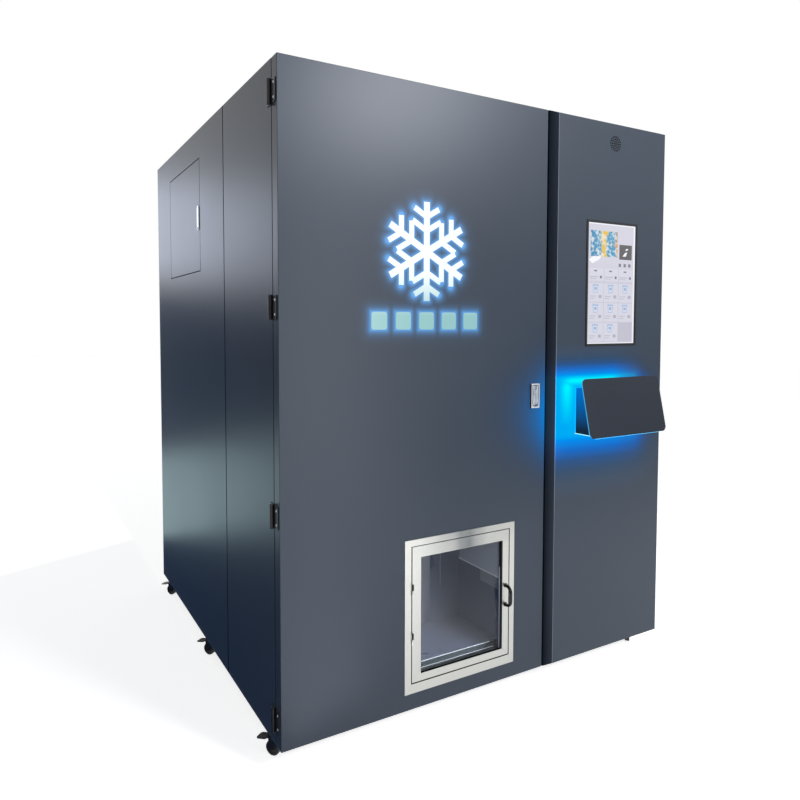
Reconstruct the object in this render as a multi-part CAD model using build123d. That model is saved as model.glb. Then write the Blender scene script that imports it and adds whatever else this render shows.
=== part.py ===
from build123d import *
import math
import os

# Ice vending machine: a powder coated sheet metal cabinet on a tube chassis and six braked
# casters. The wide left door covers the ice compartment and holds the glazed delivery hatch,
# and the narrow tower on the right holds the touch screen and the payment hood.
# Sizes are in millimetres. +X is to the right of a customer who faces the machine, +Y goes
# back and +Z up. The origin is on the floor under the middle of the whole footprint.

# Whole machine
cabinet_width = 1700
cabinet_depth = 1700
cabinet_height = 2118
caster_height = 72
cowl_height = 50
hood_balance = 45
overrun = 4

# Sheet metal and clearances
sheet = 1.5
fold = 20
seam = 3
running_gap = 0.3
pin_clearance = 0.05

# Chassis
post = 40
tube_wall = 2.5
base_rail_height = 60
deck_thickness = 3
bin_rail_low = 1090

# Main door
door_thickness = 45
gasket_thickness = 9.7
gasket_width = 22
gasket_inset = 14
liner_inset = 1.5

# Tower fascia
tower_gap = 5
tower_proud = 26
tower_side_chamfer = 24
tower_top_step = 12
tower_bottom_step = 16
tower_corner_radius = 5

# Left side of the cabinet
left_seam_depth = 544
hatch_front_depth = 880
hatch_rear_depth = 1412
hatch_low = 1545
hatch_high = 2000
hatch_pivot_inset = 4
hatch_pivot_radius = 2.5
hatch_pivot_length = 12
hatch_lock_inset = 22
hatch_lock_height = 218

# External door hinges
hinge_height = 75
hinge_leaf_width = 29
hinge_leaf_thickness = 3
hinge_knuckle_radius = 7
hinge_pin_radius = 3
hinge_standoff = 8
hinge_setback = 2
hinge_first = 85
hinge_pitch = 644
hinge_corner = 9
hinge_knuckle_gap = 0.5
hinge_leaf_gap = 1.5

# Delivery window in the main door
window_offset = 150
window_width = 479
window_low = 58
window_height = 533
window_flange = 3
window_sleeve = 2
leaf_left_margin = 31
leaf_right_margin = 24
leaf_top_margin = 26
leaf_bottom_margin = 35
leaf_gap = 1.6
leaf_depth = 25
leaf_stile = 36
leaf_right_stile = 29
leaf_top_rail = 39
leaf_bottom_rail = 26
leaf_proud = 1
glass_thickness = 6
glass_rebate = 8
leaf_axis_ahead = 5
leaf_axis_side = 1.5
leaf_pin_radius = 2
leaf_knuckle_radius = 4
leaf_knuckle_height = 40
leaf_knuckle_shares = (0.33, 0.69)

# Delivery window handle
grip_radius = 6
grip_length = 84
grip_standoff = 30
grip_bend = 22
grip_base_radius = 8
grip_base_height = 2
grip_height_share = 0.48

# Delivery compartment
bay_left_margin = 18
bay_right_margin = 10
bay_depth = 268
bay_floor_height = 88
bay_height = 490
bay_step = 30
bay_step_setback = 22
bay_wall = 16
drop_wall = 3

# Ice bin
bin_width = 900
bin_depth = 940
bin_setback = 60
bin_side_gap = 38
bin_wall = 20
bin_top_height = 1450
bin_shoulder_height = 1080
bin_ledge = 60
bin_ledge_thickness = 12

# Auger
auger_height = 830
auger_radius = 80
trough_radius = 88
auger_shaft_radius = 15
auger_pitch = 160
auger_turns = 5
flight_thickness = 5
flight_root = 2
auger_end_gap = 30
outlet_width = 150
outlet_depth = 130
gearmotor_radius = 62
gearmotor_length = 170
gearbox_side = 130
gearbox_length = 90
gearbox_corner = 10

# Ice maker
maker_width = 620
maker_depth = 520
maker_height = 500
maker_foot = 12
maker_corner = 12
maker_wall = 2
evaporator_width = 440
evaporator_depth = 36
evaporator_drop = 70
evaporator_rib = 6
evaporator_ribs = 9
maker_slot_count = 7
maker_slot_height = 10
maker_slot_pitch = 28
maker_slot_length = 360
maker_slot_depth = 8
maker_slot_first = 60

# Condensing unit
compressor_radius = 85
compressor_height = 230
compressor_left = 258
compressor_setback = 260
compressor_foot_width = 230
compressor_foot_thickness = 6
compressor_grommet = 14
compressor_grommet_radius = 14
compressor_dome = 30
coil_width = 400
coil_height = 380
coil_depth = 50
coil_right = 182
coil_setback = 150
coil_plate = 3
fin_pitch = 32
fin_thickness = 2
coil_tube_radius = 5
coil_rows = 4
coil_tube_margin = 32
shroud_depth = 70
shroud_wall = 3
fan_radius = 150
fan_clearance = 6
fan_hub_radius = 38
fan_hub_length = 40
fan_blades = 5
fan_blade_pitch = 28
fan_blade_thickness = 2
fan_blade_width = 80
fan_shaft_radius = 5
fan_motor_radius = 42
fan_motor_length = 60
fan_arm = 8

# Electrical box
control_width = 120
control_depth = 420
control_height = 560
control_low = 900
control_setback = 500

# Screen
screen_width = 267
screen_height = 470
screen_offset = 6.5
screen_low = 1246
bezel_margin = 9
bezel_proud = 2.5
bezel_depth = 10
display_depth = 50
glass_setback = 1

# Speaker grille
speaker_offset = 15
speaker_drop = 87
speaker_pitch = 9
speaker_hole_radius = 1.3
speaker_rings = 3

# Payment hood
hood_offset = 10
hood_width = 384
hood_low = 902
hood_height = 175
hood_plate_width = 430
hood_plate_low = 893
hood_plate_length = 226
hood_plate_thickness = 4
hood_plate_corner = 22
hood_plate_reach = 95
hood_plate_tilt = 12.4
hood_sheet = 2
reader_width = 110
reader_depth = 36
reader_height = 26
reader_lip = 4

# Main door latch
latch_edge_inset = 36
latch_width = 40
latch_height = 91
latch_low = 1009
latch_proud = 3
latch_recess = 7
latch_body_depth = 24
latch_rim = 4.5
latch_pivot_radius = 1.5
latch_pivot_length = 1.5
latch_pivot_drop = 5
latch_flap_thickness = 5
latch_flap_gap = 0.4
latch_key_radius = 7
latch_key_proud = 1
latch_bar_height = 14
latch_bar_thickness = 4
latch_bar_length = 62
latch_bar_end_gap = 2
latch_guide_wall = 2

# Side hatch lock
lock_width = 24
lock_height = 100
lock_proud = 3
lock_recess = 6
lock_body_depth = 14
lock_rim = 3.5

# Emblem
emblem_offset = -5.5
emblem_height = 1565
emblem_radius = 165
emblem_bar = 22
emblem_twig_bar = 18
emblem_twig_shares = ((0.42, 0.39), (0.7, 0.34))
emblem_relief = 3
cube_side = 58
cube_corner = 10
cube_count = 5
cube_pitch = 92
cube_drop = 232

# Rear, roof and right side
louvre_count = 12
louvre_length = 420
louvre_height = 9
louvre_pitch = 30
louvre_low = 110
cowl_width = 620
cowl_depth = 420
cowl_setback = 260
cowl_seat = 14
cowl_slot_count = 9
cowl_slot_width = 40
cowl_slot_height = 14
cowl_corner = 8
inlet_left = 210
inlet_height = 420
inlet_radius = 10.5
inlet_hex = 30
inlet_hex_length = 12
inlet_length = 30
inlet_bore = 6
drain_left = 210
drain_height = 160
drain_radius = 12.5
drain_flange_radius = 24
drain_flange_length = 4
drain_bore = 9.5
gland_right = 210
gland_height = 200
gland_radius = 13
gland_nut = 32
gland_nut_length = 16
gland_length = 28
gland_bore = 6

# Casters
wheel_radius = 25
wheel_width = 19
wheel_groove_depth = 3
wheel_edge = 3
wheel_edge_shares = ((0, 1), (0.12, 0.55), (0.45, 0.15), (1, 0))
wheel_rim = 6
wheel_hub_radius = 10
axle_radius = 4
axle_head = 2.5
axle_head_radius = 6
fork_wall = 2.5
fork_side_gap = 1
fork_end_radius = 9
crown_radius = 22
crown_low = 56
crown_thickness = 5.7
cheek_back = 14
cheek_front = 16
kingpin_radius = 5
kingpin_head_radius = 8
kingpin_head_thickness = 2
race_radius = 20
plate_side = 52
plate_thickness = 3
plate_corner = 6
trail = 18
pedal_pivot_ahead = 27
pedal_pivot_height = 55
pedal_pivot_radius = 2
pedal_hub_radius = 3.4
pedal_reach = 76
pedal_neck_width = 19
pedal_width = 34
pedal_neck_reach = 37
pedal_thickness = 3.5
pedal_tip_drop = 7
pedal_corner = 8
pedal_ear = 4
caster_side_inset = 27
caster_front_inset = 96
caster_rear_inset = 134
left_caster_angle = 125
right_caster_angle = 217

# Planes that the sizes give
left_x = -cabinet_width / 2
right_x = cabinet_width / 2
front_y = -cabinet_depth / 2 + hood_balance
rear_y = front_y + cabinet_depth
base_z = caster_height
top_z = base_z + cabinet_height
door_back_y = front_y + door_thickness
body_front_y = door_back_y + seam
frame_front_y = door_back_y + gasket_thickness + running_gap
tower_front_y = front_y - tower_proud
frame_left_x = left_x + fold
frame_right_x = right_x - fold
frame_rear_y = rear_y - fold
frame_top_z = top_z - fold
deck_z = base_z + base_rail_height + deck_thickness
bin_x = frame_left_x + post + bin_side_gap + bin_width / 2
jamb_x = bin_x + bin_width / 2 + bin_side_gap
tower_left_x = jamb_x + post
tower_x = (tower_left_x + right_x) / 2
door_right_x = tower_left_x - tower_gap
door_x = (left_x + door_right_x) / 2
window_x0 = door_x + window_offset - window_width / 2
leaf_x0 = window_x0 + leaf_left_margin
leaf_x1 = window_x0 + window_width - leaf_right_margin
leaf_z0 = base_z + window_low + leaf_bottom_margin
leaf_z1 = base_z + window_low + window_height - leaf_top_margin
leaf_front_y = front_y - leaf_proud
leaf_axis_x = leaf_x0 - leaf_axis_side
leaf_axis_y = leaf_front_y - leaf_axis_ahead
hinge_x = left_x - hinge_standoff
hinge_y = door_back_y + hinge_setback
bin_front_y = frame_front_y + bin_setback
bin_rear_y = bin_front_y + bin_depth
auger_z = base_z + auger_height
compressor_x = bin_x - compressor_left
coil_x = bin_x + coil_right
inlet_x = left_x + inlet_left
drain_x = left_x + drain_left
gland_x = right_x - gland_right
bin_floor_z = base_z + bin_rail_low + post
bin_top_z = base_z + bin_top_height


def block(x0, x1, y0, y1, z0, z1):
    """A box between six planes."""
    return Pos((x0 + x1) / 2, (y0 + y1) / 2, (z0 + z1) / 2) * Box(x1 - x0, y1 - y0, z1 - z0)


def rod(axis, radius, low, high, at):
    """A cylinder along X, Y or Z from low to high. at holds its two other coordinates."""
    middle = (low + high) / 2
    core = Cylinder(radius, high - low)
    if axis == "X":
        return Pos(middle, at[0], at[1]) * Rot(0, 90, 0) * core
    if axis == "Y":
        return Pos(at[0], middle, at[1]) * Rot(90, 0, 0) * core
    return Pos(at[0], at[1], middle) * core


def hexagon(axis, across, low, high, at):
    """A hexagonal bar along Y or Z, measured across its flats."""
    outline = RegularPolygon(across / 2, 6, major_radius=False)
    if axis == "Y":
        return Plane(origin=(at[0], high, at[1]), x_dir=(1, 0, 0), z_dir=(0, -1, 0)) * extrude(
            outline, high - low)
    return Pos(at[0], at[1], low) * extrude(outline, high - low)


def tray(x0, x1, y0, y1, z0, z1, wall, open_side):
    """A folded sheet tray: a box hollowed from one side."""
    low = [x0 + wall, y0 + wall, z0 + wall]
    high = [x1 - wall, y1 - wall, z1 - wall]
    index = "xyz".index(open_side[1])
    if open_side[0] == "+":
        high[index] = (x1, y1, z1)[index] + overrun
    else:
        low[index] = (x0, y0, z0)[index] - overrun
    inner = block(low[0], high[0], low[1], high[1], low[2], high[2])
    return block(x0, x1, y0, y1, z0, z1) - inner


def tube(axis, x0, x1, y0, y1, z0, z1):
    """A rectangular hollow tube, open at both ends."""
    low = [x0 + tube_wall, y0 + tube_wall, z0 + tube_wall]
    high = [x1 - tube_wall, y1 - tube_wall, z1 - tube_wall]
    index = "XYZ".index(axis)
    low[index] = (x0, y0, z0)[index] - overrun
    high[index] = (x1, y1, z1)[index] + overrun
    inner = block(low[0], high[0], low[1], high[1], low[2], high[2])
    return block(x0, x1, y0, y1, z0, z1) - inner


def side_profile(points, x0, x1):
    """A prism along X whose outline is given as (y, z) points."""
    face = make_face(Polyline(*[(0, y, z) for y, z in points], close=True))
    return Pos(x0, 0, 0) * extrude(face, x1 - x0, dir=(1, 0, 0))


def front_profile(points, y0, y1):
    """A prism along Y whose outline is given as (x, z) points."""
    face = make_face(Polyline(*[(x, 0, z) for x, z in points], close=True))
    return Pos(0, y0, 0) * extrude(face, y1 - y0, dir=(0, 1, 0))


def save(name, *solids):
    """Write one sub-part. Several solids stay separate in one node."""
    shape = solids[0] if len(solids) == 1 else Compound(children=list(solids))
    export_step(shape, "parts/" + name + ".step")


def chassis():
    """Welded tubes: a base ring with two cross rails, posts, a top ring and the bin rails."""
    base_top = base_z + base_rail_height
    top_low = frame_top_z - post
    side_y0 = frame_front_y + post
    side_y1 = frame_rear_y - post
    tubes = [tube("X", frame_left_x, frame_right_x, frame_front_y, side_y0, base_z, base_top),
             tube("X", frame_left_x, frame_right_x, side_y1, frame_rear_y, base_z, base_top),
             tube("X", frame_left_x, frame_right_x, frame_front_y, side_y0, top_low, frame_top_z),
             tube("X", frame_left_x, frame_right_x, side_y1, frame_rear_y, top_low, frame_top_z)]
    rails_x = (frame_left_x, jamb_x, frame_right_x - post)
    for x in rails_x:
        tubes.append(tube("Y", x, x + post, side_y0, side_y1, base_z, base_top))
        tubes.append(tube("Y", x, x + post, side_y0, side_y1, top_low, frame_top_z))
        for y in (frame_front_y, side_y1):
            tubes.append(tube("Z", x, x + post, y, y + post, base_top, top_low))
    rail_low = base_z + bin_rail_low
    for x in (frame_left_x, jamb_x):
        tubes.append(tube("Y", x, x + post, side_y0, side_y1, rail_low, rail_low + post))
    return tubes


def deck():
    """The floor pan lies on the base ring, with its corners cut round the posts."""
    pan = block(frame_left_x, frame_right_x, frame_front_y, frame_rear_y,
                deck_z - deck_thickness, deck_z)
    for x in (frame_left_x, jamb_x, frame_right_x - post):
        for y in (frame_front_y, frame_rear_y - post):
            pan -= block(x - seam, x + post + seam, y - seam, y + post + seam,
                         deck_z - deck_thickness - overrun, deck_z + overrun)
    return pan


def left_front_panel():
    return tray(left_x, left_x + fold, body_front_y, front_y + left_seam_depth - seam / 2,
                base_z, top_z, sheet, "+x")


def hatch_limits():
    """The side hatch's opening in the rear side panel: y0, y1, z0, z1."""
    return (front_y + hatch_front_depth - seam, front_y + hatch_rear_depth + seam,
            base_z + hatch_low - seam, base_z + hatch_high + seam)


def hatch_pivot():
    """The hatch turns about a vertical line just inside its rear edge."""
    return (left_x + hatch_pivot_inset, front_y + hatch_rear_depth - hatch_pivot_inset)


def left_rear_panel():
    """The rear side panel has a folded opening, drilled above and below for the pivots."""
    panel = tray(left_x, left_x + fold, front_y + left_seam_depth + seam / 2, rear_y - seam,
                 base_z, top_z, sheet, "+x")
    y0, y1, z0, z1 = hatch_limits()
    panel += block(left_x, left_x + fold, y0 - sheet, y1 + sheet, z0 - sheet, z1 + sheet)
    panel -= block(left_x - overrun, left_x + fold + overrun, y0, y1, z0, z1)
    reach = hatch_pivot_length + overrun
    return panel - rod("Z", hatch_pivot_radius + pin_clearance, z0 - reach, z1 + reach,
                       hatch_pivot())


def right_side_panels():
    """Two plain trays, parted where the left side is parted."""
    middle = front_y + left_seam_depth
    x0 = right_x - fold
    return [tray(x0, right_x, body_front_y, middle - seam / 2, base_z, top_z, sheet, "-x"),
            tray(x0, right_x, middle + seam / 2, rear_y - seam, base_z, top_z, sheet, "-x")]


def rear_panel():
    """The rear tray closes the back between the side panels and has the cooling louvres."""
    x0 = frame_left_x + seam
    x1 = frame_right_x - seam
    panel = tray(x0, x1, frame_rear_y, rear_y, base_z, frame_top_z, sheet, "-y")
    for row in range(louvre_count):
        low = base_z + louvre_low + row * louvre_pitch
        panel -= block(coil_x - louvre_length / 2, coil_x + louvre_length / 2,
                       rear_y - sheet - overrun, rear_y + overrun, low, low + louvre_height)
    for x, height, radius in ((inlet_x, inlet_height, inlet_radius),
                              (drain_x, drain_height, drain_radius),
                              (gland_x, gland_height, gland_radius)):
        panel -= rod("Y", radius + pin_clearance, rear_y - sheet - overrun, rear_y + overrun,
                     (x, base_z + height))
    return panel


def cowl_limits():
    """The roof cowl's footprint: x0, x1, y0, y1."""
    y1 = frame_rear_y - cowl_setback
    return -cowl_width / 2, cowl_width / 2, y1 - cowl_depth, y1


def roof_panel():
    """The roof tray lies on the top ring. Its exhaust hole has a folded collar with a seat."""
    panel = tray(frame_left_x + seam, frame_right_x - seam, body_front_y, rear_y,
                 frame_top_z, top_z, sheet, "-z")
    x0, x1, y0, y1 = cowl_limits()
    gap = running_gap
    wall = gap + sheet
    panel += block(x0 - wall, x1 + wall, y0 - wall, y1 + wall, frame_top_z, top_z)
    panel -= block(x0 - gap, x1 + gap, y0 - gap, y1 + gap, frame_top_z + sheet, top_z + overrun)
    return panel - block(x0 + cowl_seat, x1 - cowl_seat, y0 + cowl_seat, y1 - cowl_seat,
                         frame_top_z - overrun, frame_top_z + sheet + overrun)


def roof_cowl():
    """A low exhaust cowl with slotted sides, which drops into the collar of the roof's hole."""
    x0, x1, y0, y1 = cowl_limits()
    low = frame_top_z + sheet
    roof = top_z + cowl_height
    shell = block(x0, x1, y0, y1, low, roof)
    shell = chamfer(shell.faces().sort_by(Axis.Z)[-1].edges(), cowl_corner)
    inner = block(x0 + sheet, x1 - sheet, y0 + sheet, y1 - sheet, low - overrun, roof - sheet)
    inner = chamfer(inner.faces().sort_by(Axis.Z)[-1].edges(), cowl_corner)
    shell -= inner
    slot_low = top_z + (cowl_height - cowl_slot_height) / 2
    slot_high = slot_low + cowl_slot_height
    pitch = cowl_width / cowl_slot_count
    for column in range(cowl_slot_count):
        x = x0 + (column + 0.5) * pitch
        shell -= block(x - cowl_slot_width / 2, x + cowl_slot_width / 2, y0 - overrun, y1 + overrun,
                       slot_low, slot_high)
    return shell


def tower_body(inset):
    """The tower's outline, pulled in by the inset: chamfered left, top and bottom, round right."""
    chamfer_y = tower_front_y + inset
    z0 = base_z + inset
    z1 = top_z - inset
    step_y = chamfer_y + tower_proud
    top = z1 - tower_top_step
    bottom = z0 + tower_bottom_step
    side = side_profile([(body_front_y + overrun, z0), (step_y, z0), (chamfer_y, bottom),
                         (chamfer_y, top), (step_y, z1), (body_front_y + overrun, z1)],
                        tower_left_x + inset, right_x - inset)
    corner = side.edges().filter_by(Axis.Z).group_by(Axis.Y)[0].sort_by(Axis.X)
    side = chamfer(corner[0], tower_side_chamfer)
    corner = side.edges().filter_by(Axis.Z).group_by(Axis.Y)[0].sort_by(Axis.X)
    return fillet(corner[-1], tower_corner_radius - inset)


def screen_limits(margin):
    """The screen's outline, grown by the margin: x0, x1, z0, z1."""
    x0 = tower_x + screen_offset - screen_width / 2
    z0 = base_z + screen_low
    return (x0 - margin, x0 + screen_width + margin, z0 - margin, z0 + screen_height + margin)


def tower_fascia():
    """The folded front of the tower, with its screen opening, hood opening and speaker holes."""
    fascia = tower_body(0) - tower_body(sheet)
    fascia -= block(tower_left_x - overrun, right_x + overrun, body_front_y,
                    body_front_y + overrun + overrun, base_z - overrun, top_z + overrun)
    x0, x1, z0, z1 = screen_limits(bezel_margin / 2)
    fascia -= block(x0, x1, tower_front_y - overrun, tower_front_y + fold, z0, z1)
    speaker_x = tower_x + speaker_offset
    speaker_z = top_z - speaker_drop
    holes = [(speaker_x, speaker_z)]
    for ring in range(1, speaker_rings + 1):
        for step in range(6 * ring):
            angle = 2 * math.pi * step / (6 * ring)
            holes.append((speaker_x + ring * speaker_pitch * math.cos(angle),
                          speaker_z + ring * speaker_pitch * math.sin(angle)))
    for hole in holes:
        fascia -= rod("Y", speaker_hole_radius, tower_front_y - overrun, tower_front_y + overrun,
                      hole)
    return fascia


def tower_partition():
    """The sheet wall between the ice compartment and the tower, on the jamb posts."""
    return block(tower_left_x, tower_left_x + sheet, frame_front_y, frame_rear_y, deck_z,
                 frame_top_z - post)


def screen_bezel():
    """A black plastic frame round the screen, its lip on the fascia."""
    x0, x1, z0, z1 = screen_limits(bezel_margin)
    front = tower_front_y - bezel_proud
    frame = block(x0, x1, front, tower_front_y, z0, z1)
    x2, x3, z2, z3 = screen_limits(bezel_margin / 2)
    frame += block(x2, x3, tower_front_y, front + bezel_depth, z2, z3)
    x4, x5, z4, z5 = screen_limits(0)
    return frame - block(x4, x5, front - overrun, front + bezel_depth + overrun, z4, z5)


def display_unit():
    """The flat display: its glass fills the bezel and its case hangs behind the fascia."""
    x0, x1, z0, z1 = screen_limits(0)
    case_y = tower_front_y - bezel_proud + bezel_depth
    glass = block(x0, x1, tower_front_y - bezel_proud + glass_setback, case_y, z0, z1)
    x2, x3, z2, z3 = screen_limits(bezel_margin)
    return glass + block(x2, x3, case_y, case_y + display_depth, z2, z3)


def hood_slope(z):
    """How far forward of the fascia the back of the tilted hood plate lies at height z."""
    return hood_plate_reach - (z - base_z - hood_plate_low) * math.tan(math.radians(hood_plate_tilt))


def hood_box():
    """The folded box that carries the tilted plate, with an opening for the reader below."""
    z0 = base_z + hood_low
    z1 = z0 + hood_height
    x0 = tower_x + hood_offset - hood_width / 2
    x1 = x0 + hood_width
    y_low = tower_front_y - hood_slope(z0)
    y_high = tower_front_y - hood_slope(z1)
    outer = side_profile([(tower_front_y, z0), (y_low, z0), (y_high, z1), (tower_front_y, z1)],
                         x0, x1)
    back = tower_front_y + overrun
    floor = z0 + hood_sheet
    ceiling = z1 - hood_sheet
    inner = side_profile([(back, floor), (y_low + hood_sheet, floor), (y_high + hood_sheet, ceiling),
                          (back, ceiling)], x0 + hood_sheet, x1 - hood_sheet)
    box = outer - inner
    rx0, rx1, ry0, ry1 = reader_limits()
    return box - block(rx0, rx1, ry0, ry1, z0 - overrun, z0 + hood_sheet + overrun)


def reader_limits():
    """The payment reader's window in the underside of the hood: x0, x1, y0, y1."""
    x = tower_x + hood_offset
    y = tower_front_y - hood_slope(base_z + hood_low) / 2
    return x - reader_width / 2, x + reader_width / 2, y - reader_depth / 2, y + reader_depth / 2


def hood_plate():
    """The tilted cover plate, with rounded corners, on the front of the hood box."""
    outline = RectangleRounded(hood_plate_width, hood_plate_length, hood_plate_corner)
    plate = extrude(outline, hood_plate_thickness)
    tilt = math.radians(hood_plate_tilt)
    x = tower_x + hood_offset
    low_y = tower_front_y - hood_plate_reach
    low_z = base_z + hood_plate_low
    middle_y = low_y + math.sin(tilt) * hood_plate_length / 2
    middle_z = low_z + math.cos(tilt) * hood_plate_length / 2
    facing = Plane(origin=(x, middle_y, middle_z), x_dir=(1, 0, 0),
                   z_dir=(0, -math.cos(tilt), math.sin(tilt)))
    return facing * plate


def payment_reader():
    """The reader fills the window under the hood and its body rests inside on a lip."""
    x0, x1, y0, y1 = reader_limits()
    z0 = base_z + hood_low
    body = block(x0, x1, y0, y1, z0, z0 + reader_height)
    return body + block(x0 - reader_lip, x1 + reader_lip, y0 - reader_lip, y1 + reader_lip,
                        z0 + hood_sheet, z0 + reader_height)


def electrical_box():
    """The control box hangs on the tower side of the partition, with an overlapping lid."""
    x0 = tower_left_x + sheet
    y0 = frame_front_y + control_setback
    z0 = base_z + control_low
    y1 = y0 + control_depth
    z1 = z0 + control_height
    box = tray(x0, x0 + control_width, y0, y1, z0, z1, sheet, "+x")
    lid = tray(x0 + control_width - fold, x0 + control_width + sheet, y0 - sheet, y1 + sheet,
               z0 - sheet, z1 + sheet, sheet, "-x")
    return box + lid


def bin_outline(inset):
    """Half hopper, half trough: the bin's cross-section as a prism, pulled in by the inset."""
    half = bin_width / 2 - inset
    throat = trough_radius + bin_wall - inset
    shoulder = base_z + bin_shoulder_height
    y0 = bin_front_y + inset
    y1 = bin_rear_y - inset
    top = bin_top_z + (overrun if inset else 0)
    hopper = front_profile([(bin_x - half, top), (bin_x + half, top), (bin_x + half, shoulder),
                            (bin_x + throat, auger_z), (bin_x - throat, auger_z),
                            (bin_x - half, shoulder)], y0, y1)
    return hopper + rod("Y", throat, y0, y1, (bin_x, auger_z))


def outlet_limits():
    """The ice outlet at the front end of the trough: x0, x1, y0, y1."""
    y0 = bin_front_y + bin_wall
    return bin_x - outlet_width / 2, bin_x + outlet_width / 2, y0, y0 + outlet_depth


def ice_bin():
    """The insulated bin, open at the top, with side ledges that rest on the chassis rails."""
    shell = bin_outline(0)
    for side in (-1, 1):
        edge = bin_x + side * bin_width / 2
        if side < 0:
            limits = (edge - bin_ledge, edge + overrun)
        else:
            limits = (edge - overrun, edge + bin_ledge)
        shell += block(limits[0], limits[1], bin_front_y, bin_rear_y, bin_floor_z,
                       bin_floor_z + bin_ledge_thickness)
    shell -= bin_outline(bin_wall)
    x0, x1, y0, y1 = outlet_limits()
    shell -= block(x0, x1, y0, y1, auger_z - trough_radius - bin_wall - overrun, auger_z)
    return shell - rod("Y", auger_shaft_radius + pin_clearance, bin_front_y - overrun,
                       bin_rear_y + overrun, (bin_x, auger_z))


def auger():
    """A shaft with one helical flight that carries ice forward to the outlet."""
    y0 = bin_front_y + bin_wall + auger_end_gap
    length = auger_pitch * auger_turns
    shaft = Cylinder(auger_shaft_radius, bin_depth + gearbox_length / 2,
                     align=(Align.CENTER, Align.CENTER, Align.MIN))
    width = auger_radius - auger_shaft_radius + flight_root
    middle = (auger_radius + auger_shaft_radius - flight_root) / 2
    path = Helix(auger_pitch, length, middle)
    start = Plane(origin=path @ 0, x_dir=(1, 0, 0), z_dir=path % 0)
    flight = sweep(start * Rectangle(width, flight_thickness), path=path, is_frenet=True)
    screw = shaft + Pos(0, 0, y0 - bin_front_y) * flight
    return Pos(bin_x, bin_front_y, auger_z) * Rot(-90, 0, 0) * screw


def auger_motor():
    """A gearbox on the bin's rear wall, with the motor standing upright on it."""
    y0 = bin_rear_y
    half = gearbox_side / 2
    box = block(bin_x - half, bin_x + half, y0, y0 + gearbox_length, auger_z - half, auger_z + half)
    box = fillet(box.edges().filter_by(Axis.Y), gearbox_corner)
    motor = rod("Z", gearmotor_radius, auger_z + half, auger_z + half + gearmotor_length,
                (bin_x, y0 + gearmotor_radius + seam))
    return box + motor - rod("Y", auger_shaft_radius + pin_clearance, y0 - overrun,
                             y0 + gearbox_length / 2 + overrun, (bin_x, auger_z))


def bay_limits():
    """The delivery compartment's inside: x0, x1, y0, y1, z0, z1."""
    z0 = base_z + bay_floor_height
    return (leaf_x0 - bay_left_margin, leaf_x1 + bay_right_margin, frame_front_y,
            frame_front_y + bay_depth, z0, z0 + bay_height)


def delivery_box():
    """The compartment behind the glazed hatch: a lined box on feet with its drop duct above."""
    x0, x1, y0, y1, z0, z1 = bay_limits()
    box = block(x0 - bay_wall, x1 + bay_wall, y0, y1 + bay_wall, z0 - bay_wall, z1 + bay_wall)
    box -= block(x0, x1, y0 - overrun, y1, z0, z1)
    box += block(x0, x1, y0 + bay_step_setback, y1, z0, z0 + bay_step)
    ox0, ox1, oy0, oy1 = outlet_limits()
    duct_top = auger_z - trough_radius - bin_wall - seam
    duct = block(ox0 - drop_wall, ox1 + drop_wall, oy0 - drop_wall, oy1 + drop_wall,
                 z1 + bay_wall / 2, duct_top)
    box += duct
    box -= block(ox0, ox1, oy0, oy1, z1 - overrun, duct_top + overrun)
    for x in (x0, x1 - post):
        box += block(x, x + post, y0 + post, y1, deck_z, z0 - bay_wall)
    return box


def ice_maker():
    """The ice maker stands on two beams across the bin, open below, its evaporator hung inside."""
    z0 = bin_top_z + maker_foot
    x0 = bin_x - maker_width / 2
    y1 = bin_rear_y - bin_wall
    y0 = y1 - maker_depth
    case = block(x0, x0 + maker_width, y0, y1, z0, z0 + maker_height)
    case = fillet(case.edges().filter_by(Axis.Z), maker_corner)
    ceiling = z0 + maker_height - maker_wall
    case -= block(x0 + maker_wall, x0 + maker_width - maker_wall, y0 + maker_wall, y1 - maker_wall,
                  z0 - overrun, ceiling)
    middle_y = (y0 + y1) / 2
    case += block(bin_x - evaporator_width / 2, bin_x + evaporator_width / 2,
                  middle_y - evaporator_depth / 2, middle_y + evaporator_depth / 2,
                  z0 + evaporator_drop, ceiling)
    for rib in range(evaporator_ribs):
        x = bin_x + evaporator_width * ((rib + 0.5) / evaporator_ribs - 0.5)
        case += block(x - evaporator_rib / 2, x + evaporator_rib / 2, middle_y - evaporator_depth,
                      middle_y + evaporator_depth, z0 + evaporator_drop, ceiling)
    for row in range(maker_slot_count):
        low = z0 + maker_slot_first + row * maker_slot_pitch
        case -= block(bin_x - maker_slot_length / 2, bin_x + maker_slot_length / 2, y0 - overrun,
                      y0 + maker_slot_depth, low, low + maker_slot_height)
    beams = []
    for y in (y0, y1 - post):
        beams.append(block(bin_x - bin_width / 2, bin_x + bin_width / 2, y, y + post, bin_top_z, z0))
    return [case] + beams


def compressor():
    """A welded compressor shell with a domed top, on a foot plate and four grommets."""
    y = frame_rear_y - compressor_setback
    half = compressor_foot_width / 2
    foot_z = deck_z + compressor_grommet
    plate = block(compressor_x - half, compressor_x + half, y - half, y + half, foot_z,
                  foot_z + compressor_foot_thickness)
    plate = fillet(plate.edges().filter_by(Axis.Z), compressor_grommet_radius)
    shell = rod("Z", compressor_radius, foot_z, foot_z + compressor_height, (compressor_x, y))
    shell = fillet(shell.faces().sort_by(Axis.Z)[-1].edges(), compressor_dome)
    body = plate + shell
    inset = half - compressor_grommet_radius
    for x in (compressor_x - inset, compressor_x + inset):
        for gy in (y - inset, y + inset):
            body += rod("Z", compressor_grommet_radius, deck_z, foot_z, (x, gy))
    return body


def coil_limits():
    """The condenser coil's block: x0, x1, y0, y1, z0, z1."""
    y1 = frame_rear_y - coil_setback
    return (coil_x - coil_width / 2, coil_x + coil_width / 2, y1 - coil_depth, y1, deck_z,
            deck_z + coil_height)


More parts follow.
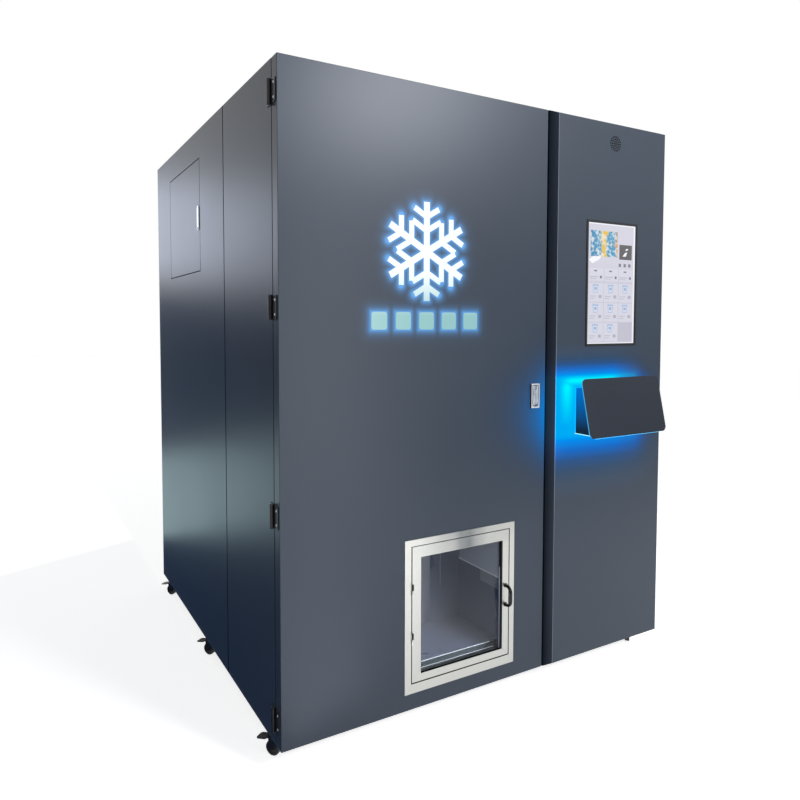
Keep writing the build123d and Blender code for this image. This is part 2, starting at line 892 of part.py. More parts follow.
def condenser_coil():
    """Upright fins on tube rows between two end plates."""
    x0, x1, y0, y1, z0, z1 = coil_limits()
    coil = block(x0, x0 + coil_plate, y0, y1, z0, z1) + block(x1 - coil_plate, x1, y0, y1, z0, z1)
    pitch = (coil_height - 2 * coil_tube_margin) / (coil_rows - 1)
    for row in range(coil_rows):
        coil += rod("X", coil_tube_radius, x0, x1, ((y0 + y1) / 2, z0 + coil_tube_margin + row * pitch))
    fins = int(coil_width / fin_pitch)
    for fin in range(1, fins):
        x = x0 + fin * coil_width / fins
        coil += block(x - fin_thickness / 2, x + fin_thickness / 2, y0 + fin_thickness,
                      y1 - fin_thickness, z0 + coil_tube_margin / 2, z1 - coil_tube_margin / 2)
    return coil


def fan_axis_z():
    return deck_z + coil_height / 2


def fan_shroud():
    """The shroud on the coil's front, with the fan's ring, its motor and the motor's arms."""
    x0, x1, y0, y1, z0, z1 = coil_limits()
    front = y0 - shroud_depth
    z = fan_axis_z()
    shroud = tray(x0, x1, front, y0, z0, z1, shroud_wall, "+y")
    shroud -= rod("Y", fan_radius + fan_clearance, front - overrun, front + shroud_wall + overrun,
                  (coil_x, z))
    motor_y = front - fan_motor_length - shroud_wall
    shroud += block(coil_x - fan_arm, coil_x + fan_arm, front - fan_arm, front, z0, z1)
    shroud += block(x0, x1, front - fan_arm, front, z - fan_arm, z + fan_arm)
    shroud += rod("Y", fan_motor_radius, motor_y, front, (coil_x, z))
    return shroud - rod("Y", fan_shaft_radius + pin_clearance, motor_y + fan_arm,
                        front + shroud_depth, (coil_x, z))


def condenser_fan():
    """A hub on its shaft with five pitched blades, inside the shroud."""
    x0, x1, y0, y1, z0, z1 = coil_limits()
    z = fan_axis_z()
    front = y0 - shroud_depth
    hub_y = front + shroud_wall
    fan = rod("Y", fan_hub_radius, hub_y, hub_y + fan_hub_length, (coil_x, z))
    fan += rod("Y", fan_shaft_radius, front - fan_motor_length / 2, hub_y + fan_hub_length,
               (coil_x, z))
    root = fan_hub_radius - fan_blade_thickness
    blade = Pos((root + fan_radius) / 2, 0, 0) * Rot(fan_blade_pitch, 0, 0) * Box(
        fan_radius - root, fan_blade_thickness, fan_blade_width)
    for number in range(fan_blades):
        turned = Rot(0, 360 * number / fan_blades, 0) * blade
        fan += Pos(coil_x, hub_y + fan_hub_length / 2, z) * turned
    return fan


def service_fittings():
    """The brass water inlet, the drain stub and the power cable gland at the back."""
    outer = rear_y
    z = base_z + inlet_height
    inlet = hexagon("Y", inlet_hex, outer, outer + inlet_hex_length, (inlet_x, z))
    inlet += rod("Y", inlet_radius, outer - fold, outer + inlet_length, (inlet_x, z))
    inlet -= rod("Y", inlet_bore, outer - fold - overrun, outer + inlet_length + overrun, (inlet_x, z))
    z = base_z + drain_height
    drain = rod("Y", drain_flange_radius, outer, outer + drain_flange_length, (drain_x, z))
    drain += rod("Y", drain_radius, outer - fold, outer + inlet_length, (drain_x, z))
    drain -= rod("Y", drain_bore, outer - fold - overrun, outer + inlet_length + overrun, (drain_x, z))
    z = base_z + gland_height
    gland = hexagon("Y", gland_nut, outer, outer + gland_nut_length, (gland_x, z))
    gland += rod("Y", gland_radius, outer - fold, outer + gland_length, (gland_x, z))
    gland -= rod("Y", gland_bore, outer - fold - overrun, outer + gland_length + overrun, (gland_x, z))
    return [inlet, drain, gland]


def window_limits(margin):
    """The opening that the window's sleeve lines in the door, grown by the margin."""
    return (leaf_x0 - leaf_gap - margin, leaf_x1 + leaf_gap + margin, leaf_z0 - leaf_gap - margin,
            leaf_z1 + leaf_gap + margin)


def latch_limits():
    """The latch housing's front face: x0, x1, z0, z1."""
    x1 = door_right_x - latch_edge_inset
    z0 = base_z + latch_low
    return x1 - latch_width, x1, z0, z0 + latch_height


def latch_bar_z():
    x0, x1, z0, z1 = latch_limits()
    return (z0 + z1) / 2


def door_skin():
    """The folded door front with its window and latch cut-outs and the bar's slot."""
    skin = tray(left_x, door_right_x, front_y, door_back_y - sheet, base_z, top_z, sheet, "+y")
    x0, x1, z0, z1 = window_limits(window_sleeve)
    skin -= block(x0, x1, front_y - overrun, door_back_y, z0, z1)
    x2, x3, z2, z3 = latch_limits()
    skin -= block(x2 + latch_rim / 2, x3 - latch_rim / 2, front_y - overrun, front_y + fold,
                  z2 + latch_rim / 2, z3 - latch_rim / 2)
    middle = latch_bar_z()
    bar_y = latch_bar_front_y()
    half = latch_bar_height / 2 + running_gap
    return skin - block(door_right_x - fold, door_right_x + overrun, bar_y - running_gap,
                        bar_y + latch_bar_thickness + running_gap, middle - half, middle + half)


def door_liner():
    """The flat inner sheet that closes the back of the door."""
    liner = block(left_x + liner_inset, door_right_x - liner_inset, door_back_y - sheet, door_back_y,
                  base_z + liner_inset, top_z - liner_inset)
    x0, x1, z0, z1 = window_limits(window_sleeve)
    return liner - block(x0, x1, door_back_y - fold, door_back_y + overrun, z0, z1)


def ring_seal(x0, x1, z0, z1, width):
    """A flat rubber ring on the back of the door, given by its outer edge."""
    y1 = door_back_y + gasket_thickness
    outer = block(x0, x1, door_back_y, y1, z0, z1)
    return outer - block(x0 + width, x1 - width, door_back_y - overrun, y1 + overrun, z0 + width,
                         z1 - width)


def door_gaskets():
    """The seal round the door's edge and the one round the window's sleeve."""
    edge = ring_seal(left_x + fold + gasket_inset / 2, door_right_x - gasket_inset,
                     base_z + gasket_inset, frame_top_z - gasket_inset / 2, gasket_width)
    x0, x1, y0, y1, z0, z1 = bay_limits()
    return [edge, ring_seal(x0 - bay_wall, x1 + bay_wall, z0 - bay_wall, z1 + bay_wall, bay_wall)]


def emblem():
    """A plain six-armed snowflake over a row of rounded cubes, as raised lit acrylic."""
    x = door_x + emblem_offset
    z = base_z + emblem_height
    y1 = front_y
    y0 = front_y - emblem_relief
    arms = []
    for number in range(3):
        arms.append(Rot(0, 60 * number, 0) * Box(2 * emblem_radius, emblem_relief, emblem_bar))
    for number in range(6):
        for share, length_share in emblem_twig_shares:
            length = emblem_radius * length_share
            for side in (-1, 1):
                twig = Pos(length / 2, 0, 0) * Box(length, emblem_relief, emblem_twig_bar)
                placed = Pos(emblem_radius * share, 0, 0) * Rot(0, side * 60, 0) * twig
                arms.append(Rot(0, 60 * number, 0) * placed)
    flake = arms[0]
    for arm in arms[1:]:
        flake += arm
    pieces = [Pos(x, (y0 + y1) / 2, z) * Rot(0, 30, 0) * flake]
    for number in range(cube_count):
        cube = Box(cube_side, emblem_relief, cube_side)
        cube = fillet(cube.edges().filter_by(Axis.Y), cube_corner)
        offset = (number - (cube_count - 1) / 2) * cube_pitch
        pieces.append(Pos(x + offset, (y0 + y1) / 2, z - cube_drop) * cube)
    return pieces


def hinge_centres():
    """The heights of the hinges' middles, as many as the door's height takes."""
    count = int((cabinet_height - 2 * hinge_first) / hinge_pitch) + 1
    return [base_z + hinge_first + number * hinge_pitch for number in range(count)]


def hinge_leaf(z, side):
    """One leaf: side -1 lies on the door and has the middle knuckle, side 1 has the outer two."""
    z0 = z - hinge_height / 2
    z1 = z + hinge_height / 2
    third = hinge_height / 3
    near = hinge_y + side * (hinge_knuckle_radius + hinge_leaf_gap)
    far = near + side * hinge_leaf_width
    leaf = block(left_x - hinge_leaf_thickness, left_x, min(near, far), max(near, far), z0, z1)
    outer = leaf.edges().filter_by(Axis.X).group_by(Axis.Y)[0 if side < 0 else -1]
    leaf = fillet(outer, hinge_corner)
    if side < 0:
        spans = [(z0 + third, z1 - third)]
    else:
        spans = [(z0, z0 + third - hinge_knuckle_gap), (z1 - third + hinge_knuckle_gap, z1)]
    for low, high in spans:
        leaf += block(left_x - hinge_leaf_thickness, left_x - running_gap, min(near, hinge_y),
                      max(near, hinge_y), low, high)
        leaf += rod("Z", hinge_knuckle_radius, low, high, (hinge_x, hinge_y))
    if side < 0:
        return leaf - rod("Z", hinge_pin_radius + pin_clearance, z0, z1, (hinge_x, hinge_y))
    return leaf + rod("Z", hinge_pin_radius, z0, z1, (hinge_x, hinge_y))


def latch_housing():
    """The rectangular latch pan through the door, with the bar's guide on its back."""
    x0, x1, z0, z1 = latch_limits()
    inset = latch_rim / 2
    back_y = front_y + latch_body_depth
    pan = block(x0, x1, front_y - latch_proud, front_y, z0, z1)
    pan = fillet(pan.edges().filter_by(Axis.Y), latch_rim / 2)
    pan += block(x0 + inset, x1 - inset, front_y, back_y, z0 + inset, z1 - inset)
    pan -= block(x0 + latch_rim, x1 - latch_rim, front_y - latch_proud - overrun,
                 front_y - latch_proud + latch_recess, z0 + latch_rim, z1 - latch_rim)
    pivot = latch_pivot()
    reach = latch_pivot_length + running_gap - latch_rim
    pan -= rod("X", latch_pivot_radius + pin_clearance, x0 - reach, x1 + reach, pivot)
    z = latch_bar_z()
    bar_y = latch_bar_front_y()
    half = latch_bar_height / 2 + running_gap
    slot_y = bar_y + latch_bar_thickness + running_gap
    guide = block(x0 + inset, x1 - inset, back_y, slot_y + latch_guide_wall,
                  z - half - latch_guide_wall, z + half + latch_guide_wall)
    guide -= block(x0 - overrun, x1 + overrun, bar_y - running_gap, slot_y, z - half, z + half)
    return pan + guide


def latch_bar_front_y():
    return front_y + latch_body_depth + latch_guide_wall + running_gap


def latch_pivot():
    """The flap's pivot line along X: its y and z."""
    x0, x1, z0, z1 = latch_limits()
    return (front_y - latch_proud + latch_flap_thickness / 2, z0 + latch_rim + latch_pivot_drop)


def latch_handle():
    """The lift flap, pivoted at its lower end, with the key cylinder near its top."""
    x0, x1, z0, z1 = latch_limits()
    inset = latch_rim + latch_flap_gap
    y0 = front_y - latch_proud
    pivot = latch_pivot()
    round_radius = latch_flap_thickness / 2
    flap = block(x0 + inset, x1 - inset, y0, y0 + latch_flap_thickness, pivot[1], z1 - inset)
    flap += rod("X", round_radius, x0 + inset, x1 - inset, pivot)
    flap += rod("X", latch_pivot_radius, x0 + latch_rim - latch_pivot_length,
                x1 - latch_rim + latch_pivot_length, pivot)
    key_z = z1 - inset - latch_key_radius - latch_rim
    return flap + rod("Y", latch_key_radius, y0 - latch_key_proud, y0 + latch_flap_thickness,
                      ((x0 + x1) / 2, key_z))


def latch_bar():
    """The flat bolt that the flap draws back, in the guide behind the housing."""
    x1 = door_right_x - latch_bar_end_gap
    z = latch_bar_z()
    y0 = latch_bar_front_y()
    return block(x1 - latch_bar_length, x1, y0, y0 + latch_bar_thickness, z - latch_bar_height / 2,
                 z + latch_bar_height / 2)


def window_frame():
    """The stainless surround: a flat flange on the door and a sleeve through it."""
    z0 = base_z + window_low
    frame = block(window_x0, window_x0 + window_width, front_y - window_flange, front_y, z0,
                  z0 + window_height)
    x2, x3, z2, z3 = window_limits(window_sleeve)
    frame += block(x2, x3, front_y, door_back_y, z2, z3)
    x4, x5, z4, z5 = window_limits(0)
    frame -= block(x4, x5, front_y - window_flange - overrun, door_back_y + overrun, z4, z5)
    for low, high in leaf_knuckle_spans():
        middle = (low + high) / 2
        reach = leaf_knuckle_radius + running_gap
        frame -= block(leaf_axis_x - reach, leaf_axis_x + leaf_knuckle_radius,
                       front_y - window_flange - overrun, leaf_axis_y + reach,
                       low - running_gap, middle)
        frame += rod("Z", leaf_knuckle_radius, middle, high, (leaf_axis_x, leaf_axis_y))
        frame += block(leaf_axis_x - leaf_knuckle_radius, leaf_axis_x, leaf_axis_y, front_y,
                       middle, high)
        frame += rod("Z", leaf_pin_radius, low + running_gap, middle + overrun,
                     (leaf_axis_x, leaf_axis_y))
    return frame


def leaf_knuckle_spans():
    """Where the leaf's two small hinges lie along its height."""
    spans = []
    for share in leaf_knuckle_shares:
        middle = leaf_z0 + share * (leaf_z1 - leaf_z0)
        spans.append((middle - leaf_knuckle_height / 2, middle + leaf_knuckle_height / 2))
    return spans


def pane_limits(margin):
    """The leaf's sight opening, grown by the margin: x0, x1, z0, z1."""
    return (leaf_x0 + leaf_stile - margin, leaf_x1 - leaf_right_stile + margin,
            leaf_z0 + leaf_bottom_rail - margin, leaf_z1 - leaf_top_rail + margin)


def glass_front_y():
    return leaf_front_y + (leaf_depth - glass_thickness) / 2


def window_leaf():
    """The hinged stainless frame, rebated for the glass, with its two hinge knuckles."""
    leaf = block(leaf_x0, leaf_x1, leaf_front_y, leaf_front_y + leaf_depth, leaf_z0, leaf_z1)
    x0, x1, z0, z1 = pane_limits(0)
    leaf -= block(x0, x1, leaf_front_y - overrun, leaf_front_y + leaf_depth + overrun, z0, z1)
    x2, x3, z2, z3 = pane_limits(glass_rebate)
    y0 = glass_front_y()
    leaf -= block(x2, x3, y0, y0 + glass_thickness, z2, z3)
    for low, high in leaf_knuckle_spans():
        middle = (low + high) / 2
        high = middle - running_gap
        knuckle = rod("Z", leaf_knuckle_radius, low, high, (leaf_axis_x, leaf_axis_y))
        knuckle += block(leaf_axis_x, leaf_x0 + leaf_knuckle_radius, leaf_axis_y,
                         leaf_front_y, low, high)
        leaf += knuckle
        leaf -= rod("Z", leaf_pin_radius + pin_clearance, low - overrun, middle + overrun,
                    (leaf_axis_x, leaf_axis_y))
    return leaf


def window_glass():
    x0, x1, z0, z1 = pane_limits(glass_rebate)
    y0 = glass_front_y()
    return block(x0, x1, y0, y0 + glass_thickness, z0, z1)


def window_handle():
    """The D handle: one bent round bar on two base rings, on the right stile."""
    x = leaf_x1 - leaf_right_stile / 2
    z = leaf_z0 + grip_height_share * (leaf_z1 - leaf_z0)
    y = leaf_front_y - grip_standoff
    low = z - grip_length / 2 + grip_radius
    high = z + grip_length / 2 - grip_radius
    path = FilletPolyline((x, leaf_front_y, low), (x, y, low), (x, y, high),
                          (x, leaf_front_y, high), radius=grip_bend)
    start = Plane(origin=path @ 0, x_dir=(1, 0, 0), z_dir=path % 0)
    handle = sweep(start * Circle(grip_radius), path=path)
    for ring_z in (low, high):
        handle += rod("Y", grip_base_radius, leaf_front_y - grip_base_height, leaf_front_y,
                      (x, ring_z))
    return handle


def side_hatch():
    """The flush side hatch: a folded tray with a pivot pin at both ends of its rear edge."""
    y0 = front_y + hatch_front_depth
    y1 = front_y + hatch_rear_depth
    z0 = base_z + hatch_low
    z1 = base_z + hatch_high
    hatch = tray(left_x, left_x + fold - sheet, y0, y1, z0, z1, sheet, "+x")
    x, y, low, high = lock_limits()
    hatch -= block(left_x - overrun, left_x + sheet + overrun, y - lock_width / 2 + lock_rim / 2,
                   y + lock_width / 2 - lock_rim / 2, low + lock_rim, high - lock_rim)
    px, py = hatch_pivot()
    reach = hatch_pivot_length
    hatch += block(left_x, left_x + 2 * hatch_pivot_inset, py - hatch_pivot_inset, y1, z0, z1)
    hatch += rod("Z", hatch_pivot_radius, z1 - overrun, z1 + reach, (px, py))
    return hatch + rod("Z", hatch_pivot_radius, z0 - reach, z0 + overrun, (px, py))


def lock_limits():
    """The hatch lock's face: its x plane, middle y, low z and high z."""
    y = front_y + hatch_front_depth + hatch_lock_inset
    z = base_z + hatch_low + hatch_lock_height
    return left_x, y, z - lock_height / 2, z + lock_height / 2


def stadium(width, height, x0, x1, y, z):
    """A plate along X with round ends above and below."""
    half = height / 2 - width / 2
    body = block(x0, x1, y - width / 2, y + width / 2, z - half, z + half)
    body += rod("X", width / 2, x0, x1, (y, z + half))
    return body + rod("X", width / 2, x0, x1, (y, z - half))


def lock_pivot():
    """The lock flap's pivot line along Y: its x and z."""
    x, y, low, high = lock_limits()
    return x - lock_proud + latch_flap_thickness / 2, low + lock_width / 2


def side_lock_housing():
    """The round-ended lock pan in the side hatch."""
    x, y, low, high = lock_limits()
    z = (low + high) / 2
    face = stadium(lock_width, lock_height, x - lock_proud, x, y, z)
    face += block(x, x + lock_body_depth, y - lock_width / 2 + lock_rim / 2,
                  y + lock_width / 2 - lock_rim / 2, low + lock_rim, high - lock_rim)
    face -= stadium(lock_width - 2 * lock_rim, lock_height - 2 * lock_rim, x - lock_proud - overrun,
                    x - lock_proud + lock_recess, y, z)
    half = lock_width / 2 - lock_rim + latch_pivot_length + running_gap
    return face - rod("Y", latch_pivot_radius + pin_clearance, y - half, y + half, lock_pivot())


def side_lock_handle():
    """The lock's lift flap, pivoted at its lower end."""
    x, y, low, high = lock_limits()
    px, pz = lock_pivot()
    half = lock_width / 2 - lock_rim - latch_flap_gap
    x0 = x - lock_proud
    flap = block(x0, x0 + latch_flap_thickness, y - half, y + half, pz, high - lock_width / 2)
    flap += rod("X", half, x0, x0 + latch_flap_thickness, (y, high - lock_width / 2))
    flap += rod("Y", latch_flap_thickness / 2, y - half, y + half, (px, pz))
    reach = lock_width / 2 - lock_rim + latch_pivot_length
    return flap + rod("Y", latch_pivot_radius, y - reach, y + reach, (px, pz))


def caster_places():
    """The six swivel axes: name, x, y and the angle at which each caster rests."""
    rows = (("front", front_y + caster_front_inset), ("middle", (front_y + rear_y) / 2),
            ("rear", rear_y - caster_rear_inset))
    places = []
    for side, x, angle in (("left", left_x + caster_side_inset, left_caster_angle),
                           ("right", right_x - caster_side_inset, right_caster_angle)):
        for row, y in rows:
            places.append((row + "_" + side, x, y, angle))
    return places


def caster_plate():
    """The top plate, swivel race and headed kingpin of one caster."""
    half = plate_side / 2
    plate = block(-half, half, -half, half, caster_height - plate_thickness, caster_height)
    plate = fillet(plate.edges().filter_by(Axis.Z), plate_corner)
    race_low = crown_low + crown_thickness + running_gap
    plate += rod("Z", race_radius, race_low, caster_height - plate_thickness, (0, 0))
    plate += rod("Z", kingpin_radius, crown_low - running_gap, race_low, (0, 0))
    return plate + rod("Z", kingpin_head_radius, crown_low - running_gap - kingpin_head_thickness,
                       crown_low - running_gap, (0, 0))


def caster_fork():
    """The crown, two cheeks that reach down to the axle, and the axle between them."""
    crown = rod("Z", crown_radius, crown_low, crown_low + crown_thickness, (0, 0))
    crown -= rod("Z", kingpin_radius + pin_clearance, crown_low - overrun,
                 crown_low + crown_thickness + overrun, (0, 0))
    inner = wheel_width / 2 + fork_side_gap
    top = crown_low + crown_thickness
    outline = [(-cheek_back, top), (cheek_front, top),
               (pedal_pivot_ahead, pedal_pivot_height + pedal_ear),
               (pedal_pivot_ahead + pedal_ear, pedal_pivot_height),
               (trail + fork_end_radius, wheel_radius), (trail, wheel_radius - fork_end_radius),
               (trail - fork_end_radius, wheel_radius)]
    fork = crown
    for side in (-1, 1):
        y0 = min(side * inner, side * (inner + fork_wall))
        cheek = front_profile(outline, y0, y0 + fork_wall)
        fork += cheek
    reach = inner + fork_wall
    fork += rod("Y", axle_radius, -reach, reach, (trail, wheel_radius))
    for side in (-1, 1):
        low = min(side * reach, side * (reach + axle_head))
        fork += rod("Y", axle_head_radius, low, low + axle_head, (trail, wheel_radius))
    return fork + rod("Y", pedal_pivot_radius, -reach, reach, (pedal_pivot_ahead, pedal_pivot_height))


def caster_wheel():
    """The black wheel, turned from one profile: a hub, recessed faces and a crowned tread."""
    half = wheel_width / 2
    web = half - wheel_groove_depth
    rim = wheel_radius - wheel_rim
    side = [(axle_radius + pin_clearance, half), (wheel_hub_radius, half),
            (wheel_hub_radius, web), (rim, web), (rim, half)]
    for inward, down in wheel_edge_shares:
        side.append((wheel_radius - wheel_edge * down, half - wheel_edge * inward))
    side += [(radius, -across) for radius, across in reversed(side)]
    outline = make_face(Polyline(*side, close=True))
    return Pos(trail, 0, wheel_radius) * revolve(outline, Axis.Y)


def caster_brake():
    """The brake pedal: a hub between the cheeks and a tread that fans out beyond them."""
    z = pedal_pivot_height
    top = z + pedal_thickness / 2
    half = pedal_neck_width / 2
    hub = rod("Y", pedal_hub_radius, -half, half, (pedal_pivot_ahead, z))
    hub += block(pedal_pivot_ahead, pedal_neck_reach, -half, half, top - pedal_thickness, top)
    tread = front_profile([(pedal_neck_reach, top - pedal_thickness), (pedal_neck_reach, top),
                           (pedal_reach, top - pedal_tip_drop),
                           (pedal_reach, top - pedal_tip_drop - pedal_thickness)],
                          -pedal_width / 2, pedal_width / 2)
    tread = fillet(tread.edges().filter_by(Axis.Z), pedal_corner)
    return hub + tread - rod("Y", pedal_pivot_radius + pin_clearance, -half - overrun, half + overrun,
                             (pedal_pivot_ahead, z))


def build():
    """Write every sub-part."""
    os.makedirs("parts", exist_ok=True)
    save("chassis_frame", *chassis(), deck())
    save("left_front_panel", left_front_panel())
    save("left_rear_panel", left_rear_panel())
    save("right_side_panels", *right_side_panels())
    save("rear_panel", rear_panel())
    save("roof_panel", roof_panel())
    save("roof_vent_cowl", roof_cowl())
    save("tower_fascia", tower_fascia())
    save("tower_partition", tower_partition())
    save("screen_bezel", screen_bezel())
    save("display_unit", display_unit())
    save("hood_box", hood_box())
    save("hood_plate", hood_plate())
    save("payment_reader", payment_reader())
    save("electrical_box", electrical_box())
    save("ice_bin", ice_bin())
    save("auger", auger())
    save("auger_gearmotor", auger_motor())
    save("delivery_box", delivery_box())
    save("ice_maker", *ice_maker())
    save("compressor", compressor())
    save("condenser_coil", condenser_coil())
    save("fan_shroud", fan_shroud())
    save("condenser_fan", condenser_fan())
    save("service_fittings", *service_fittings())
    save("door_skin", door_skin())
    save("door_liner", door_liner())
    save("door_gaskets", *door_gaskets())
    save("sign_emblem", *emblem())
    save("cabinet_hinge_leaves", *[hinge_leaf(z, 1) for z in hinge_centres()])
    save("door_hinge_leaves", *[hinge_leaf(z, -1) for z in hinge_centres()])
    save("latch_housing", latch_housing())
    save("latch_handle", latch_handle())
    save("latch_bar", latch_bar())
    save("window_frame", window_frame())
    save("window_leaf", window_leaf())
    save("window_glass", window_glass())
    save("window_handle", window_handle())
    save("side_hatch", side_hatch())
    save("side_lock_housing", side_lock_housing())
    save("side_lock_handle", side_lock_handle())
    plates = []
    for name, x, y, angle in caster_places():
        place = Pos(x, y, 0) * Rot(0, 0, angle)
        plates.append(Pos(x, y, 0) * caster_plate())
        save("caster_fork_" + name, place * caster_fork())
        save("caster_wheel_" + name, place * caster_wheel())
        save("caster_brake_" + name, place * caster_brake())
    save("caster_plates", *plates)


build()
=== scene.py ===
import math
from functools import partial
import bmesh
import bpy
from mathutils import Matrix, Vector


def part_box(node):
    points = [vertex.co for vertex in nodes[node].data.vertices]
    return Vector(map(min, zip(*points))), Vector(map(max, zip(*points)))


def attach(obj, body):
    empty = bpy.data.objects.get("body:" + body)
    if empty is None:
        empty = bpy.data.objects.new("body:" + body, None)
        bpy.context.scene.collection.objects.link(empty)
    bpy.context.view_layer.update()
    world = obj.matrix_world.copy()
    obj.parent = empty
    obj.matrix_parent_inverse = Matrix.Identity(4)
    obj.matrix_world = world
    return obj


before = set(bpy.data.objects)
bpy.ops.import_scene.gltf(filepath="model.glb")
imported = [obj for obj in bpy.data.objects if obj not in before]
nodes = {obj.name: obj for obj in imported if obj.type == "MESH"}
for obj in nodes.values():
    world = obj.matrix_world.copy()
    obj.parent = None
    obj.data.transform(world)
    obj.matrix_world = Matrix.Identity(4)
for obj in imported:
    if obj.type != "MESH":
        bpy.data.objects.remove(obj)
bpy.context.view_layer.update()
scene = bpy.context.scene

# The picture is taken at head height from the front left corner, with a short lens whose
# middle is shifted a little, and the machine fills the frame.
camera_place = Vector((-1.5726, -2.6723, 1.3908))
camera_yaw = math.radians(29.212)
camera_pitch = math.radians(-2.76)
focal_pixels = 662.9
picture_pixels = 800
centre_pixel = (372.35, 357.09)
sensor_width = 36


def aimed(name, data, place, direction):
    """Set up a camera or a lamp in its place, turned along a direction."""
    holder = bpy.data.objects.new(name, data)
    holder.location = place
    holder.rotation_mode = "QUATERNION"
    holder.rotation_quaternion = direction.to_track_quat("-Z", "Y")
    scene.collection.objects.link(holder)
    return holder


lens = bpy.data.cameras.new("camera")
lens.sensor_width = sensor_width
lens.lens = focal_pixels / picture_pixels * sensor_width
lens.shift_x = 0.5 - centre_pixel[0] / picture_pixels
lens.shift_y = centre_pixel[1] / picture_pixels - 0.5
scene.camera = aimed("camera", lens, camera_place,
                     Vector((math.sin(camera_yaw) * math.cos(camera_pitch),
                             math.cos(camera_yaw) * math.cos(camera_pitch),
                             math.sin(camera_pitch))))
scene.view_settings.view_transform = "Standard"

# The studio is a plain pale floor that runs back into a white surround, as in a catalogue
# picture. Both look white to the eye and in reflections, and give only a soft light themselves.
white = (1, 1, 1)
floor_radius = 30
floor_lift = 0.78
floor_speckle = 40
floor_tones = (0.89, 0.92)
surround_light = 0.17


def put(target, inputs):
    """Set a shader node's inputs, each to a number, a colour or another node's socket."""
    for name, value in inputs.items():
        socket = target.inputs[name]
        if isinstance(value, bpy.types.NodeSocket):
            target.id_data.links.new(value, socket)
        else:
            socket.default_value = (*value, 1)[:4] if socket.type == "RGBA" else value


def node(owner, kind, inputs=None, **settings):
    """Add a shader node to a material, or beside the node that a socket belongs to."""
    beside = isinstance(owner, bpy.types.NodeSocket)
    made = (owner.id_data if beside else owner.node_tree).nodes.new("ShaderNode" + kind)
    for field, value in settings.items():
        setattr(made, field, value)
    put(made, inputs or {})
    return made


def maths(operation, *values):
    """One step of arithmetic in a shader, as a socket."""
    owner = next(value for value in values if isinstance(value, bpy.types.NodeSocket))
    return node(owner, "Math", dict(enumerate(values)), operation=operation).outputs[0]


plus, minus, times, over = (partial(maths, operation) for operation in
                            ("ADD", "SUBTRACT", "MULTIPLY", "DIVIDE"))
least, most, less, greater = (partial(maths, operation) for operation in
                              ("MINIMUM", "MAXIMUM", "LESS_THAN", "GREATER_THAN"))


def spread(value, low=0.0, high=1.0, to_low=0.0, to_high=1.0):
    """Stretch one span of values to another, as a socket."""
    return node(value, "MapRange", {"Value": value, "From Min": low, "From Max": high,
                                    "To Min": to_low, "To Max": to_high}).outputs["Result"]


def noise(point, scale, detail=2):
    """A cloudy pattern, as a socket, at a point or over the whole of a material's piece."""
    inputs = {"Scale": scale, "Detail": detail}
    if isinstance(point, bpy.types.NodeSocket):
        inputs["Vector"] = point
    return node(point, "TexNoise", inputs).outputs["Fac"]


def finish(material, inputs):
    """Set inputs of a material's own shader."""
    put(material.node_tree.nodes["Principled BSDF"], inputs)


def new_material(name, base, roughness, metallic=0.0):
    """A material with its own shader, ready for more nodes."""
    material = bpy.data.materials.new(name)
    material.use_nodes = True
    finish(material, {"Base Color": base, "Roughness": roughness, "Metallic": metallic})
    return material


def mesh_piece(name, mesh_builder, material):
    """Turn a finished bmesh into a piece with one material."""
    mesh = bpy.data.meshes.new(name)
    mesh_builder.to_mesh(mesh)
    mesh_builder.free()
    piece = bpy.data.objects.new(name, mesh)
    scene.collection.objects.link(piece)
    piece.data.materials.append(material)
    return piece


def seen_by_eye(owner):
    """One for the rays that the camera, metal or glass follow, and nothing for soft light."""
    rays = node(owner, "LightPath").outputs
    return most(most(rays["Is Camera Ray"], rays["Is Glossy Ray"]), rays["Is Transmission Ray"])


floor_paint = new_material("studio_floor", (0.90, 0.90, 0.91), 0.9)
finish(floor_paint, {"Base Color": spread(noise(floor_paint, floor_speckle), 0, 1, *floor_tones),
                     "Emission Color": white,
                     "Emission Strength": times(seen_by_eye(floor_paint), floor_lift)})
disc = bmesh.new()
bmesh.ops.create_circle(disc, cap_ends=True, segments=96, radius=floor_radius)
floor = mesh_piece("studio_floor", disc, floor_paint)

world = bpy.data.worlds.new("surround")
world.use_nodes = True
scene.world = world
world.node_tree.nodes.clear()
soft = node(world, "Background", {"Color": white, "Strength": surround_light})
bright = node(world, "Background", {"Color": white, "Strength": 1})
both = node(world, "MixShader", {0: seen_by_eye(world), 1: soft.outputs[0],
                                 2: bright.outputs[0]})
node(world, "OutputWorld", {"Surface": both.outputs[0]})

# Cards of cloth lie and stand round the machine, and only reflections show them. The dark ones
# keep the satin panels from going flat, and an aqua and a pale one put light into the coat.
cloth_weave = 30.0
cloth_tones = (0.015, 0.03)
pale_glow = (3.6, 4.0)


def flag_cloth(name, glow_colour):
    """Dark cloth on a card, which may give off a little colour of its own."""
    material = new_material(name, (0.02, 0.02, 0.022), 0.95)
    finish(material, {"Base Color": spread(noise(material, cloth_weave), 0, 1, *cloth_tones),
                      "Emission Color": glow_colour, "Emission Strength": 1})
    return material


